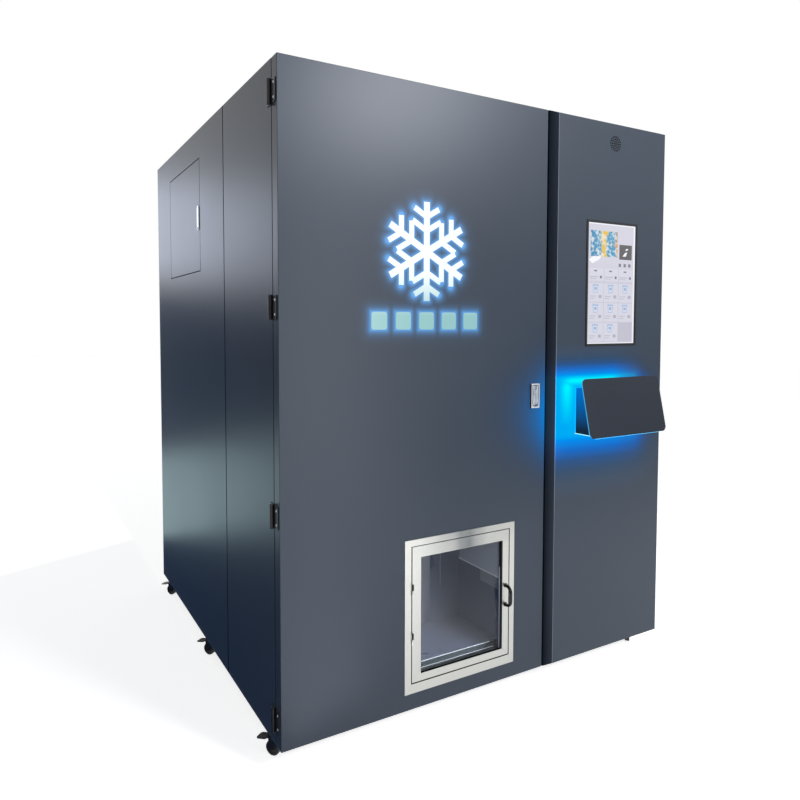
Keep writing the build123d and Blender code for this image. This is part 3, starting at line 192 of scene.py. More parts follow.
black_cloth = flag_cloth("studio_flag", (0, 0, 0))
navy_cloth = flag_cloth("studio_flag_navy", (0.0, 0.04, 0.14))
aqua_cloth = flag_cloth("studio_card_aqua", (1.15, 1.55, 1.65))
pale_cloth = new_material("studio_glow_card", (0.8, 0.8, 0.8), 0.9)
finish(pale_cloth, {"Emission Color": (0.93, 0.96, 1),
                    "Emission Strength": spread(noise(pale_cloth, cloth_weave), 0, 1,
                                                *pale_glow)})
cards = (("rear_flag", navy_cloth,
          ((-5.0, 4.8, 0.0), (-1.2, 4.8, 0.0), (-1.2, 4.8, 1.74), (-5.0, 4.8, 1.74))),
         ("side_flag", navy_cloth,
          ((-2.6, -1.0, 0.004), (-0.86, -1.0, 0.004), (-0.86, 1.8, 0.004), (-2.6, 1.1, 0.004))),
         ("side_card", aqua_cloth,
          ((-2.6, 1.1, 0.004), (-0.86, 1.8, 0.004), (-0.86, 4.7, 0.004), (-4.2, 4.7, 0.004))),
         ("left_flag", black_cloth,
          ((-9.0, -1.5, 0.0), (-1.5, -9.0, 0.0), (-1.5, -9.0, 3.5), (-9.0, -1.5, 3.5))),
         ("front_flag", black_cloth,
          ((4.5, -9.0, 0.0), (22.0, -9.0, 0.0), (22.0, -9.0, 2.6), (4.5, -9.0, 2.6))),
         ("low_flag", black_cloth,
          ((3.6, -9.0, 0.004), (20.0, -9.0, 0.004), (20.0, -2.9, 0.004), (1.16, -2.9, 0.004))),
         ("floor_glow", pale_cloth,
          ((-0.75, -0.95, 0.006), (-0.72, -1.3, 0.006), (0.9, -6.5, 0.006),
           (2.5, -6.5, 0.006), (-0.4, -1.1, 0.006))))
for card_name, cloth, corners in cards:
    outline = bmesh.new()
    outline.faces.new([outline.verts.new(corner) for corner in corners])
    card = mesh_piece(card_name, outline, cloth)
    card.visible_camera = False
    card.visible_diffuse = False
    card.visible_transmission = False
    card.visible_shadow = False

# Three soft lamps light the machine: a large one high at the front right, a tall narrow one low
# in front of the door, and a wide bluish one far behind on the left.
lamps = (("key_lamp", (1.75, -4.6, 3.7), (-0.3, -0.8, 1.7), 1.7, 1.1, 208, (0.94, 0.96, 1)),
         ("left_lamp", (1.15, -4.9, 1.25), (-0.6, -0.8, 1.0), 0.9, 2.3, 48, (0.96, 0.98, 1)),
         ("rear_lamp", (-3.6, 8.8, 3.05), (-0.85, 0.4, 1.6), 4.0, 1.6, 54, (0.72, 0.80, 1)))
for lamp_name, place, target, width, height, power, tint in lamps:
    lamp = bpy.data.lights.new(lamp_name, "AREA")
    lamp.shape = "RECTANGLE"
    lamp.size = width
    lamp.size_y = height
    lamp.energy = power
    lamp.color = tint
    aimed(lamp_name, lamp, place, Vector(target) - Vector(place))


# The cabinet's outer panels are folded steel in a satin slate powder coat. The coat has a fine
# orange peel, a little unevenness from curing, and sheet edges that are folded, not cut.
slate = (0.033, 0.043, 0.059)
slate_light = (0.040, 0.052, 0.070)
slate_peel = 900
slate_peel_depth = 0.00005
slate_cure = 1.6
slate_roughness = (0.30, 0.36)
slate_shine = 0.20
slate_gloss_tint = (0.93, 0.94, 1.0)
fold_radius = 0.0012
fold_angle = math.radians(40)
weld_gap = 0.00001


def object_point(material):
    """The point on the piece, in metres, which stays with it as it moves."""
    return node(material, "TexCoord").outputs["Object"]


def blend(amount, low, high):
    """Mix two colours, as a socket."""
    return node(amount, "Mix", {0: amount, 6: low, 7: high}, data_type="RGBA").outputs[2]


def mottled(name, low, high, scale, roughness, metallic=0.0):
    """A surface whose colour and roughness vary slowly from place to place."""
    material = new_material(name, low, roughness[0], metallic)
    cloud = noise(object_point(material), scale, 4)
    finish(material, {"Base Color": blend(cloud, low, high),
                      "Roughness": spread(cloud, 0, 1, *roughness)})
    return material


def bumped(material, height, depth):
    """Raise the surface by a height socket."""
    bump = node(material, "Bump", {"Height": height, "Distance": depth, "Strength": 1})
    finish(material, {"Normal": bump.outputs["Normal"]})


def powder_coat(name, low=slate, high=slate_light, roughness=slate_roughness,
                shine=slate_shine):
    """A powder coated metal surface."""
    material = mottled(name, low, high, slate_cure, roughness)
    finish(material, {"Specular IOR Level": shine, "Specular Tint": slate_gloss_tint})
    bumped(material, noise(object_point(material), slate_peel), slate_peel_depth)
    return material


def dress(names, material, radius=0.0):
    """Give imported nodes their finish, and round their folded edges where a radius is given."""
    for name in names:
        piece = nodes[name]
        if not piece.material_slots:
            piece.data.materials.append(material)
        for holder in piece.material_slots:
            holder.material = material
        if radius:
            weld = piece.modifiers.new("weld", "WELD")
            weld.merge_threshold = weld_gap
            bevel = piece.modifiers.new("folded_edge", "BEVEL")
            bevel.width = radius
            bevel.segments = 2
            bevel.limit_method = "ANGLE"
            bevel.angle_limit = fold_angle


dress(("right_side_panels", "rear_panel", "roof_panel", "roof_vent_cowl"),
      powder_coat("slate_powder_coat"))

# The wide door is one folded sheet. Its lit emblem is a plain snowflake over a row of cubes, and
# a blue halo round it is painted glow in the coat, as is a blue spill from the hood's light strip
# along the door's right edge, where the coat is also painted darker.
emblem_middle = (-0.320, 1.637)
emblem_reach = 0.165
emblem_half_bar = 0.011
twig_half_bar = 0.009
twigs = ((0.42, 0.39), (0.70, 0.34))
cubes_below = 0.232
cubes_each_side = 2
cube_pitch = 0.092
cube_half = 0.029
# The halo and the spill are painted glow, and under the spill the coat is painted darker.
painted_halo_colour = (0.07, 0.32, 0.75)
halo_reach = 0.010
spill_edge_x = 0.221
spill_level_z = 1.06
spill_across = 0.072
spill_up = 0.15
painted_spill_colour = (0.0, 0.19, 0.60)
painted_spill_dark = (0.004, 0.006, 0.012)
spill_depth = 0.6
black = (0, 0, 0)


def split(point):
    """The x, y and z of a point in a shader."""
    return node(point, "SeparateXYZ", {"Vector": point}).outputs


def size_of(value):
    """A value without its sign."""
    return maths("ABSOLUTE", value)


def square(value):
    """A value times itself."""
    return times(value, value)


def hypot(across, up):
    """The length of a vector given by two numbers."""
    return maths("SQRT", plus(square(across), square(up)))


def outside(value, middle, half=0.0):
    """How far a value lies outside a span given by its middle and half width."""
    return most(minus(size_of(minus(value, middle)), half), 0.0)


def outside_frame(across, up, low, high):
    """How far a point lies outside an upright frame given by two corners."""
    return most(outside(across, (low[0] + high[0]) / 2, (high[0] - low[0]) / 2),
                outside(up, (low[1] + high[1]) / 2, (high[1] - low[1]) / 2))


def faded(distance, reach=1.0):
    """A glow that fades away with distance."""
    return maths("EXPONENT", over(distance, -reach))


def tinted(amount, colour):
    """A colour scaled by an amount."""
    return blend(amount, black, colour)


def glow(material, *colours, strength=1.0):
    """Add up glows and let the surface give them off."""
    total = colours[0]
    for colour in colours[1:]:
        total = node(total, "VectorMath", {0: total, 1: colour}, operation="ADD").outputs[0]
    finish(material, {"Emission Color": total, "Emission Strength": strength})


def steep(material, amount, colour):
    """Draw the coat's own colour towards another, and its gloss towards none."""
    sockets = material.node_tree.nodes["Principled BSDF"].inputs
    gloss = sockets["Specular IOR Level"]
    coat_gloss = gloss.links[0].from_socket if gloss.links else gloss.default_value
    coat_tone = sockets["Base Color"].links[0].from_socket
    finish(material, {"Base Color": blend(amount, coat_tone, colour),
                      "Specular IOR Level": times(minus(1.0, amount), coat_gloss)})


def snowflake_distance(x, z):
    """Distance to the emblem's arms and twigs, folded into one sixth of a turn."""
    x = minus(x, emblem_middle[0])
    z = minus(z, emblem_middle[1])
    radius = hypot(x, z)
    turn = maths("MODULO", plus(maths("ARCTAN2", z, x), 2 * math.pi), math.pi / 3)
    turn = minus(turn, math.pi / 6)
    along = times(radius, maths("COSINE", turn))
    aside = size_of(times(radius, maths("SINE", turn)))
    nearest = hypot(most(minus(along, emblem_reach), 0.0),
                    most(minus(aside, emblem_half_bar), 0.0))
    lean = (math.cos(math.pi / 3), math.sin(math.pi / 3))
    for start, share in twigs:
        from_root = minus(along, start * emblem_reach)
        run = plus(times(from_root, lean[0]), times(aside, lean[1]))
        run = least(most(run, 0.0), share * emblem_reach)
        away = hypot(minus(from_root, times(run, lean[0])), minus(aside, times(run, lean[1])))
        nearest = least(nearest, most(minus(away, twig_half_bar), 0.0))
    return nearest


def cubes_distance(x, z):
    """Distance to the nearest cube of the row below the snowflake."""
    across = minus(x, emblem_middle[0])
    number = maths("ROUND", over(across, cube_pitch))
    number = least(most(number, -cubes_each_side), cubes_each_side)
    return hypot(outside(across, times(number, cube_pitch), cube_half),
                 outside(z, emblem_middle[1] - cubes_below, cube_half))


door_coat = powder_coat("slate_powder_coat_door")
door_x, _, door_z = split(object_point(door_coat))
to_emblem = least(snowflake_distance(door_x, door_z), cubes_distance(door_x, door_z))
spill = faded(plus(over(outside(door_x, spill_edge_x), spill_across),
                   square(over(outside(door_z, spill_level_z), spill_up))))
# Painted glow round the emblem and along the right edge; the coat under the spill is painted
# darker and less glossy.
glow(door_coat, tinted(faded(to_emblem, halo_reach), painted_halo_colour),
     tinted(spill, painted_spill_colour))
steep(door_coat, maths("POWER", spill, spill_depth), painted_spill_dark)
dress(("door_skin",), door_coat, fold_radius)

# The left side is two folded sheets with a joint between them. The rear one has a flush service
# hatch, and a thin black line is drawn on the coat round it and along the joint.
side_line_black = (0.006, 0.006, 0.007)
side_line_width = 0.004
side_gloss_tint = (0.64, 0.79, 1.0)
side_hatch_low = (0.075, 1.617)
side_hatch_high = (0.607, 2.072)
side_joint_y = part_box("left_rear_panel")[0].y
side_coat = powder_coat("slate_powder_coat_side")
finish(side_coat, {"Specular Tint": side_gloss_tint})
_, side_y, side_z = split(object_point(side_coat))
from_hatch = outside_frame(side_y, side_z, side_hatch_low, side_hatch_high)
on_hatch_line = times(less(from_hatch, side_line_width), greater(from_hatch, 0.0))
on_joint = less(outside(side_y, side_joint_y), side_line_width)
steep(side_coat, most(on_hatch_line, on_joint), side_line_black)
dress(("left_front_panel", "left_rear_panel", "side_hatch"), side_coat)

# The emblem is opal acrylic, cut to the shape of the snowflake and the cubes and lit from
# behind: white at the top and aqua lower down.
acrylic_stops = ((0.12, (0.25, 0.50, 0.50)), (0.45, (0.90, 1.0, 1.0)), (1.0, (0.86, 0.96, 1.0)))
acrylic_span = (1.37, 1.80)


def ramp(amount, stops):
    """A colour ramp with the given stops, as a socket."""
    made = node(amount, "ValToRGB", {"Fac": amount})
    bands = made.color_ramp.elements
    bands[0].position, bands[0].color = stops[0][0], (*stops[0][1], 1)
    bands[1].position, bands[1].color = stops[-1][0], (*stops[-1][1], 1)
    for position, colour in stops[1:-1]:
        bands.new(position).color = (*colour, 1)
    return made.outputs["Color"]


acrylic = new_material("lit_acrylic", (0.03, 0.04, 0.045), 0.25)
acrylic_height = spread(split(object_point(acrylic))[2], *acrylic_span)
glow(acrylic, ramp(acrylic_height, acrylic_stops))
dress(("sign_emblem",), acrylic)

# The door's back is a zinc coated sheet with a rubber seal round its edge and another round
# the window's sleeve. The zinc shows a faint spangle.
zinc = (0.40, 0.41, 0.42)
zinc_light = (0.50, 0.51, 0.52)
zinc_roughness = (0.34, 0.5)
spangle_scale = 70


def crystals(point, scale):
    """A pattern of cells, as a socket: the distance to the middle of each."""
    return node(point, "TexVoronoi", {"Vector": point, "Scale": scale}).outputs["Distance"]


def fine_grained(name, low, high, scale, roughness, grain, depth, shine=0.5):
    """A rubber or moulded plastic surface with a fine grain."""
    material = mottled(name, low, high, scale, roughness)
    finish(material, {"Specular IOR Level": shine})
    bumped(material, noise(object_point(material), grain, 3), depth)
    return material


zinc_coat = new_material("zinc_steel", zinc, 0.42, 0.85)
spangle = crystals(object_point(zinc_coat), spangle_scale)
finish(zinc_coat, {"Base Color": blend(spangle, zinc, zinc_light),
                   "Roughness": spread(spangle, 0, 1, *zinc_roughness)})
dress(("door_liner", "fan_shroud", "latch_bar"), zinc_coat)
rubber_roughness = (0.6, 0.75)
rubber_dust = 60
rubber_grain = 1400
dress(("door_gaskets",),
      fine_grained("black_rubber", (0.012, 0.012, 0.013), (0.024, 0.024, 0.026), rubber_dust,
                   rubber_roughness, rubber_grain, 0.00006))


# The tower's front is one folded sheet, cut back at 45 degrees along its left edge. A blue glow
# from the light strip behind the hood is painted into its coat, most strongly beside the box's
# upper left, and the coat is painted darker under it. The facet carries painted shade, and its
# fold a painted highlight.
hood_box_low, hood_box_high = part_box("hood_box")
hood_plate_low, hood_plate_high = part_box("hood_plate")
wash_span = 0.26
wash_left = 0.06
wash_right = 1.1
wash_above = 1.9
wash_below = 1.0
wash_right_x = 0.68
painted_wash_stops = ((0.0, (0.0, 0.42, 0.92)), (0.06, (0.0, 0.36, 0.90)), (0.104, (0.0, 0.26, 0.85)),
              (0.254, (0.0, 0.13, 0.54)), (0.404, (0.0, 0.055, 0.20)),
              (0.554, (0.0, 0.028, 0.08)), (0.708, (0.0, 0.012, 0.035)), (1.0, black))
painted_glow_dark = (0.0, 0.002, 0.006)
front_fade = (-0.98, -0.8, 1.0, 0.03)
right_fade = (0.58, 0.86, 1.0, 0.35)
corner_fade = (0.56, 0.74, 0.0, 0.8)
corner_rise = 0.03
cover_fade = (0.08, 0.75, 1.0, 0.0)
facet_painted_shade = (0.013, 0.017, 0.026)
facet_turn = (-0.50, -0.65)
facet_shade_fade = (0.228, 0.248, 1.0, 0.50)
fold_line = 0.2518
fold_line_half = 0.0012
fold_painted_highlight = (0.16, 0.18, 0.21)
core_offset = 0.046
core_spread = 0.030
core_foot = 0.03
painted_core_colour = (0.0, 0.50, 0.10)
band_middle = 0.44
band_half = 0.10
band_below = 0.010
band_spread = (0.05, 0.014)


def stretched(value, low, high, below, above):
    """Distance outside a span, stretched by its own factor on either side."""
    return plus(times(most(minus(low, value), 0.0), below),
                times(most(minus(value, high), 0.0), above))


def facing(material):
    """The x, y and z of the direction that the surface faces."""
    return split(node(material, "NewGeometry").outputs["Normal"])


tower_coat = powder_coat("slate_powder_coat_tower")
tower_x, _, tower_z = split(object_point(tower_coat))
facing_x, facing_y, _ = facing(tower_coat)
wash = over(hypot(stretched(tower_x, hood_box_low.x, wash_right_x, wash_left, wash_right),
                  stretched(tower_z, hood_box_low.z, hood_plate_high.z, wash_below,
                            wash_above)), wash_span)
upper_right = times(spread(tower_z, hood_box_high.z, hood_plate_high.z + corner_rise),
                    spread(tower_x, *corner_fade))
painted_wash_share = times(times(spread(facing_y, *front_fade), spread(tower_x, *right_fade)),
                   minus(1.0, upper_right))
from_core = over(outside(tower_x, hood_box_low.x - core_offset), core_spread)
core_top = over(most(minus(tower_z, hood_box_high.z), 0.0), core_spread)
core = times(faded(plus(square(from_core), square(core_top))),
             spread(tower_z, hood_box_low.z + core_foot, hood_box_high.z))
from_band = hypot(over(outside(tower_x, band_middle, band_half), band_spread[0]),
                  over(outside(tower_z, hood_plate_high.z - band_below), band_spread[1]))
core = times(most(core, faded(square(from_band))), painted_wash_share)
# Painted glow from the light strip, with a brighter painted core beside the box's left side and
# along the plate's top edge.
glow(tower_coat, tinted(painted_wash_share, ramp(wash, painted_wash_stops)), tinted(core, painted_core_colour))
# Under the painted glow the coat is painted darker.
steep(tower_coat, times(spread(wash, *cover_fade), painted_wash_share), painted_glow_dark)
# Painted shade on the 45 degree facet, deepest at its edge by the door.
steep(tower_coat, spread(facing_x, *facet_turn, to_high=spread(tower_x, *facet_shade_fade)), facet_painted_shade)
# A painted highlight along the fold between the facet and the front.
steep(tower_coat, less(outside(tower_x, fold_line), fold_line_half), fold_painted_highlight)
dress(("tower_fascia",), tower_coat, fold_radius)

# The speaker stands behind rings of punched holes. Their dark is painted shade: thin black
# washers with a rolled rim sit on the tower's face, one at each hole.
speaker_middle = (0.553, 2.103)
speaker_pitch = 0.009
speaker_rings = 3
hole_ring_sides = 14
hole_ring_profile = ((0.0036, 0.0), (0.0032, 0.0003), (0.0012, 0.0003), (0.0012, 0.0))
tower_front = -0.831


def circle(count, radius):
    """Points spaced evenly round a circle."""
    turns = [2 * math.pi * step / count for step in range(count)]
    return [(radius * math.cos(turn), radius * math.sin(turn)) for turn in turns]


def skin(builder, pairs):
    """Join each pair of loops with a band of faces."""
    for outer, inner in pairs:
        for step, vert in enumerate(outer):
            after = (step + 1) % len(outer)
            builder.faces.new((vert, outer[after], inner[after], inner[step]))


spots = [(0.0, 0.0)]
for ring_number in range(1, speaker_rings + 1):
    spots += circle(6 * ring_number, ring_number * speaker_pitch)
hole_shade_rings = bmesh.new()
for across, up in spots:
    loops = [[hole_shade_rings.verts.new((speaker_middle[0] + across + x, tower_front - rise,
                                 speaker_middle[1] + up + z))
              for x, z in circle(hole_ring_sides, reach)] for reach, rise in hole_ring_profile]
    skin(hole_shade_rings, zip(loops, loops[1:] + loops[:1]))
bmesh.ops.recalc_face_normals(hole_shade_rings, faces=hole_shade_rings.faces)
# The black washers are painted shade, standing in for the dark of the holes.
hole_shade_black = fine_grained("hole_shade_black", (0.004, 0.004, 0.005), (0.008, 0.008, 0.009),
                            rubber_dust, rubber_roughness, rubber_grain, 0.00004, 0.08)
speaker_hole_shade_rings = mesh_piece("speaker_hole_shade_rings", hole_shade_rings, hole_shade_black)
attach(speaker_hole_shade_rings, "cabinet")

# The hood is a folded steel box under a tilted, darker plate. A blue glow from the strip behind
# it is painted into the box's coat, growing towards its top, and onto the plate's upper and left
# edges.
plate_dark = (0.015, 0.019, 0.027)
plate_light = (0.021, 0.025, 0.035)
plate_edge_painted_glow = (0.06, 0.42, 0.78)
plate_roughness = (0.40, 0.48)
plate_shine = 0.14
plate_turn = (0.60, 0.75)
hood_fold = 0.0008
plate_coat = powder_coat("hood_plate_coat", plate_dark, plate_light, plate_roughness,
                         plate_shine)
plate_facing = facing(plate_coat)
edge_facing = most(times(plate_facing[0], -1.0), plate_facing[2])
# Painted glow on the plate's upper and left edges.
glow(plate_coat, tinted(spread(edge_facing, *plate_turn), plate_edge_painted_glow))
dress(("hood_plate",), plate_coat, hood_fold)
box_span = (0.99, 1.15)
box_painted_glow = (0.0, 0.17, 0.62)
box_coat = powder_coat("hood_box_coat")
box_rise = spread(split(object_point(box_coat))[2], *box_span)
# Painted glow on the box, growing towards its top, where its coat is painted darker.
glow(box_coat, tinted(box_rise, box_painted_glow))
steep(box_coat, box_rise, painted_glow_dark)
dress(("hood_box",), box_coat, hood_fold)

# The strip of light runs round the back of the hood box, along its top, left and bottom edges,
# and a thin guide carries it on behind the tilted plate's bottom edge. All are milky plastic.
strip_side = 0.003
strip_ease = 0.001
strip_white = (0.45, 0.95, 1.0)
strip_cyan = (0.0, 0.42, 0.88)
strip_dim = (0.08, 0.46, 0.76)
line_tall = 0.002
line_setback = 0.012
line_ease = 0.0005
guide_tall = 0.001
guide_deep = 0.002
guide_setback = 0.0004
guide_ease = 0.0003
hair = 0.0002
plate_corner = 0.024
tower_face = hood_box_high.y
milk_scale = 90.0
milk_tones = (0.92, 1.0)
milk_roughness = 0.4


def lit(name, colour, strength=1.0):
    """A light strip's material: a milky diffuser that gives off its own colour."""
    material = new_material(name, colour, milk_roughness)
    milk = spread(noise(object_point(material), milk_scale), 0, 1, *milk_tones)
    glow(material, tinted(milk, colour), strength=strength)
    return material


def trim(name, material, body, *slabs):
    """A piece made of slabs, each given by two corners and how far its edges are eased."""
    builder = bmesh.new()
    for low, high, ease in slabs:
        made = bmesh.ops.create_cube(builder, size=1)["verts"]
        size = Vector(high) - Vector(low)
        middle = (Vector(high) + Vector(low)) / 2
        for vert in made:
            vert.co = Vector(vert.co[i] * size[i] + middle[i] for i in range(3))
        edges = {edge for vert in made for edge in vert.link_edges}
        bmesh.ops.bevel(builder, geom=list(edges), offset=ease, segments=2,
                        affect="EDGES", profile=0.5)
    piece = mesh_piece(name, builder, material)
    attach(piece, body)


left_x = hood_box_low.x - strip_side
trim("hood_light_strip", lit("light_strip_cyan", strip_cyan), "cabinet",
     ((left_x, tower_face - strip_side, hood_box_low.z),
      (hood_box_low.x, tower_face, hood_box_high.z), strip_ease),
     ((left_x, tower_face - strip_side, hood_box_high.z),
      (hood_box_high.x, tower_face, hood_box_high.z + strip_side), strip_ease))
trim("hood_light_line", lit("light_strip_white", strip_white), "cabinet",
     ((left_x, hood_box_low.y + line_setback, hood_box_low.z - line_tall),
      (hood_box_high.x, tower_face, hood_box_low.z - hair), line_ease))
guide_front = hood_plate_low.y + guide_setback
guide_top = hood_plate_low.z - hair
trim("plate_light_line", lit("light_strip_dim", strip_dim), "cabinet",
     ((hood_plate_low.x + plate_corner, guide_front, guide_top - guide_tall),
      (hood_plate_high.x - 2 * plate_corner, guide_front + guide_deep, guide_top), guide_ease))

# The touch screen is a portrait display in a thin black frame. Its picture is laid out as such
# screens are, with plain tiles, cups and bars and no lettering, a hair in front of the glass.
bezel_plastic = fine_grained("black_plastic", (0.010, 0.010, 0.011), (0.018, 0.018, 0.020), 30,
                             (0.42, 0.55), 1600, 0.00003, 0.2)
dress(("screen_bezel", "payment_reader", "condenser_fan"), bezel_plastic)
smear_scale = 22.0
smear_roughness = (0.04, 0.14)
glass_black = new_material("display_glass", (0.012, 0.012, 0.014), 0.06)
smear = noise(object_point(glass_black), smear_scale, 5)
finish(glass_black, {"Roughness": spread(smear, 0, 1, *smear_roughness)})
dress(("display_unit",), glass_black)

bezel_low, bezel_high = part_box("screen_bezel")
bezel_margin = 0.009
bezel_left = 0.0040
bezel_right = 0.0125
screen_left = bezel_low.x + bezel_left
screen_top = bezel_high.z - bezel_margin
screen_wide = bezel_high.x - bezel_low.x - bezel_left - bezel_right
screen_tall = bezel_high.z - bezel_low.z - 2 * bezel_margin
screen_y = bezel_low.y + 0.0008
layer = 0.00006
screen_dark = (0.02, 0.02, 0.02)
screen_gloss = 0.12
cell_tones = (0.975, 1.0)
picture_colours = {"page": (0.62, 0.61, 0.70), "edge": (0.86, 0.86, 0.93),
                   "card": (0.67, 0.67, 0.76), "line": (0.50, 0.50, 0.58),
                   "mark": (0.20, 0.20, 0.25), "dark": (0.085, 0.080, 0.085),
                   "cup": (0.34, 0.44, 0.62), "cup_body": (0.40, 0.52, 0.72),
                   "cup_side": (0.66, 0.71, 0.84), "snow": (0.90, 0.90, 0.93),
                   "bar": (0.44, 0.44, 0.50), "empty": (0.54, 0.53, 0.62)}
tile_cells = 78.0
tile_bands = 22.0
tile_waver = 0.45
tile_span = (0.06, 0.62)
tile_joint = (0.80, 0.82, 0.78)
joint_fade = (0.45, 0.80, 0.0, 0.75)
tile_stops = ((0.0, (0.02, 0.20, 0.42)), (0.36, (0.05, 0.30, 0.52)), (0.40, (0.66, 0.55, 0.16)),
              (0.50, (0.80, 0.42, 0.03)), (0.63, (0.70, 0.52, 0.08)), (0.68, (0.04, 0.28, 0.50)),
              (0.90, (0.05, 0.30, 0.52)), (1.0, (0.62, 0.30, 0.05)))


def screen_light(name, colour):
    """A lit area of the display: it gives off its colour behind the glass's faint gloss."""
    material = new_material("display_" + name, screen_dark, screen_gloss)
    cells = node(material, "TexWhiteNoise", {"Vector": object_point(material)},
                 noise_dimensions="3D")
    glow(material, tinted(spread(cells.outputs["Value"], 0, 1, *cell_tones), colour))
    return material


def tile_material():
    """The picture tile: soft blue and lemon patches with pale joints between them."""
    material = new_material("display_tile", screen_dark, screen_gloss)
    point = object_point(material)
    share = spread(split(point)[0], *(screen_left + end * screen_wide for end in tile_span))
    waver = times(minus(noise(point, tile_bands), 0.5), tile_waver)
    hue = ramp(plus(share, waver), tile_stops)
    glow(material, blend(spread(crystals(point, tile_cells), *joint_fade), hue, tile_joint))
    return material


picture_materials = {key: screen_light(key, colour) for key, colour in picture_colours.items()}
picture_materials["tile"] = tile_material()
picture_order = list(picture_materials)
picture = bmesh.new()


def patch(kind, level, *corners):
    """A flat patch of the picture. Its corners are shares of the screen's width and height."""
    verts = [picture.verts.new((screen_left + across * screen_wide, screen_y - level * layer,
                                screen_top - down * screen_tall)) for across, down in corners]
    picture.faces.new(verts).material_index = picture_order.index(kind)


def bar(kind, level, x0, y0, x1, y1):
    """An upright rectangle of the picture."""
    patch(kind, level, (x0, y0), (x0, y1), (x1, y1), (x1, y0))


def taper(kind, level, middle, half_top, top, half_foot, foot):
    """A patch that narrows downwards."""
    patch(kind, level, (middle - half_top, top), (middle - half_foot, foot),
          (middle + half_foot, foot), (middle + half_top, top))


def cup(x, y):
    """A paper cup: a rim, a tapering body with pale sides, and a label."""
    bar("cup_body", 3, x - 0.062, y - 0.034, x + 0.062, y - 0.024)
    taper("cup_body", 2.5, x, 0.056, y - 0.024, 0.042, y + 0.036)
    taper("cup_side", 3, x, 0.042, y - 0.020, 0.032, y + 0.030)
    taper("cup", 3.5, x, 0.026, y - 0.010, 0.022, y + 0.012)


bar("edge", 0, 0, 0, 1, 1)
bar("page", 1, 0.018, 0.010, 0.965, 0.992)
bar("tile", 2, 0.060, 0.062, 0.620, 0.275)
bar("dark", 2, 0.660, 0.165, 0.930, 0.290)
patch("snow", 3, (0.73, 0.262), (0.80, 0.262), (0.83, 0.225), (0.78, 0.232))
patch("snow", 3, (0.79, 0.215), (0.85, 0.205), (0.84, 0.194), (0.80, 0.198))
patch("snow", 2, (0.03, 0.305), (0.10, 0.335), (0.24, 0.300), (0.29, 0.268), (0.12, 0.276))
for icon_x in (0.650, 0.755, 0.855):
    bar("mark", 2, icon_x, 0.325, icon_x + 0.052, 0.352)
columns = [0.035 + 0.310 * column for column in range(3)]
for left in columns:
    bar("card", 2, left + 0.010, 0.372, left + 0.300, 0.476)
    bar("mark", 3, left + 0.105, 0.388, left + 0.165, 0.400)
    bar("bar", 3, left + 0.020, 0.440, left + 0.190, 0.446)
    bar("bar", 3, left + 0.020, 0.456, left + 0.150, 0.461)
    bar("mark", 3, left + 0.225, 0.434, left + 0.265, 0.456)
for joint_x in (0.343, 0.651):
    bar("line", 2, joint_x, 0.372, joint_x + 0.005, 0.985)
for row in range(3):
    top = 0.490 + 0.165 * row
    bar("line", 2, columns[0], top, 0.965, top + 0.002)
    for left in columns:
        if row == 2 and left == columns[2]:
            bar("empty", 2, left + 0.004, top + 0.004, 0.962, 0.985)
            continue
        bar("card", 2, left + 0.004, top + 0.006, left + 0.302, top + 0.162)
        cup(left + 0.140, top + 0.050)
        bar("bar", 3, left + 0.020, top + 0.112, left + 0.150, top + 0.117)
        bar("bar", 3, left + 0.020, top + 0.130, left + 0.120, top + 0.135)
        bar("bar", 3, left + 0.205, top + 0.104, left + 0.265, top + 0.130)
screen_picture = mesh_piece("screen_picture", picture, picture_materials[picture_order[0]])
for key in picture_order[1:]:
    screen_picture.data.materials.append(picture_materials[key])
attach(screen_picture, "cabinet")


# The delivery hatch is brushed stainless steel: a surround and a leaf, both mitred at their
# corners, with the grain along each rail. The leaf's glass sits on a black seal.
steel = (0.50, 0.495, 0.465)
steel_dark = (0.36, 0.358, 0.34)
steel_rough = (0.22, 0.38)
steel_ease = 0.0006
scratch_depth = 0.00002
grain_across = 1500
grain_along = 12
mitre_half = 0.0002
mitre_tone = (0.26, 0.26, 0.25)
rail_width = 0.035
rail_blend = 0.015
painted_reflection_scale = (11.0, 3.0, 7.0)
painted_reflection_tone = (0.14, 0.15, 0.155)
painted_reflection_clouds = (0.35, 0.65, 0.8, 1.1)
painted_reflection_span = (-0.40, 0.08)
painted_reflection_stops = tuple((place, (grey, grey, grey)) for place, grey in
                    ((0.0, 0.0), (0.125, 0.02), (0.27, 0.30), (0.40, 0.52), (0.48, 0.92),
                     (0.565, 0.92), (0.635, 0.60), (0.73, 0.18), (1.0, 0.05)))
seal_width = 0.0026
seal_tone = (0.012, 0.012, 0.012)


def streaks(point, scale, detail=3):
    """A cloudy pattern drawn out along the axes that have a small scale, as a socket."""
    drawn_out = node(point, "VectorMath", {0: point, 1: scale}, operation="MULTIPLY")
    return noise(drawn_out.outputs[0], 1.0, detail)


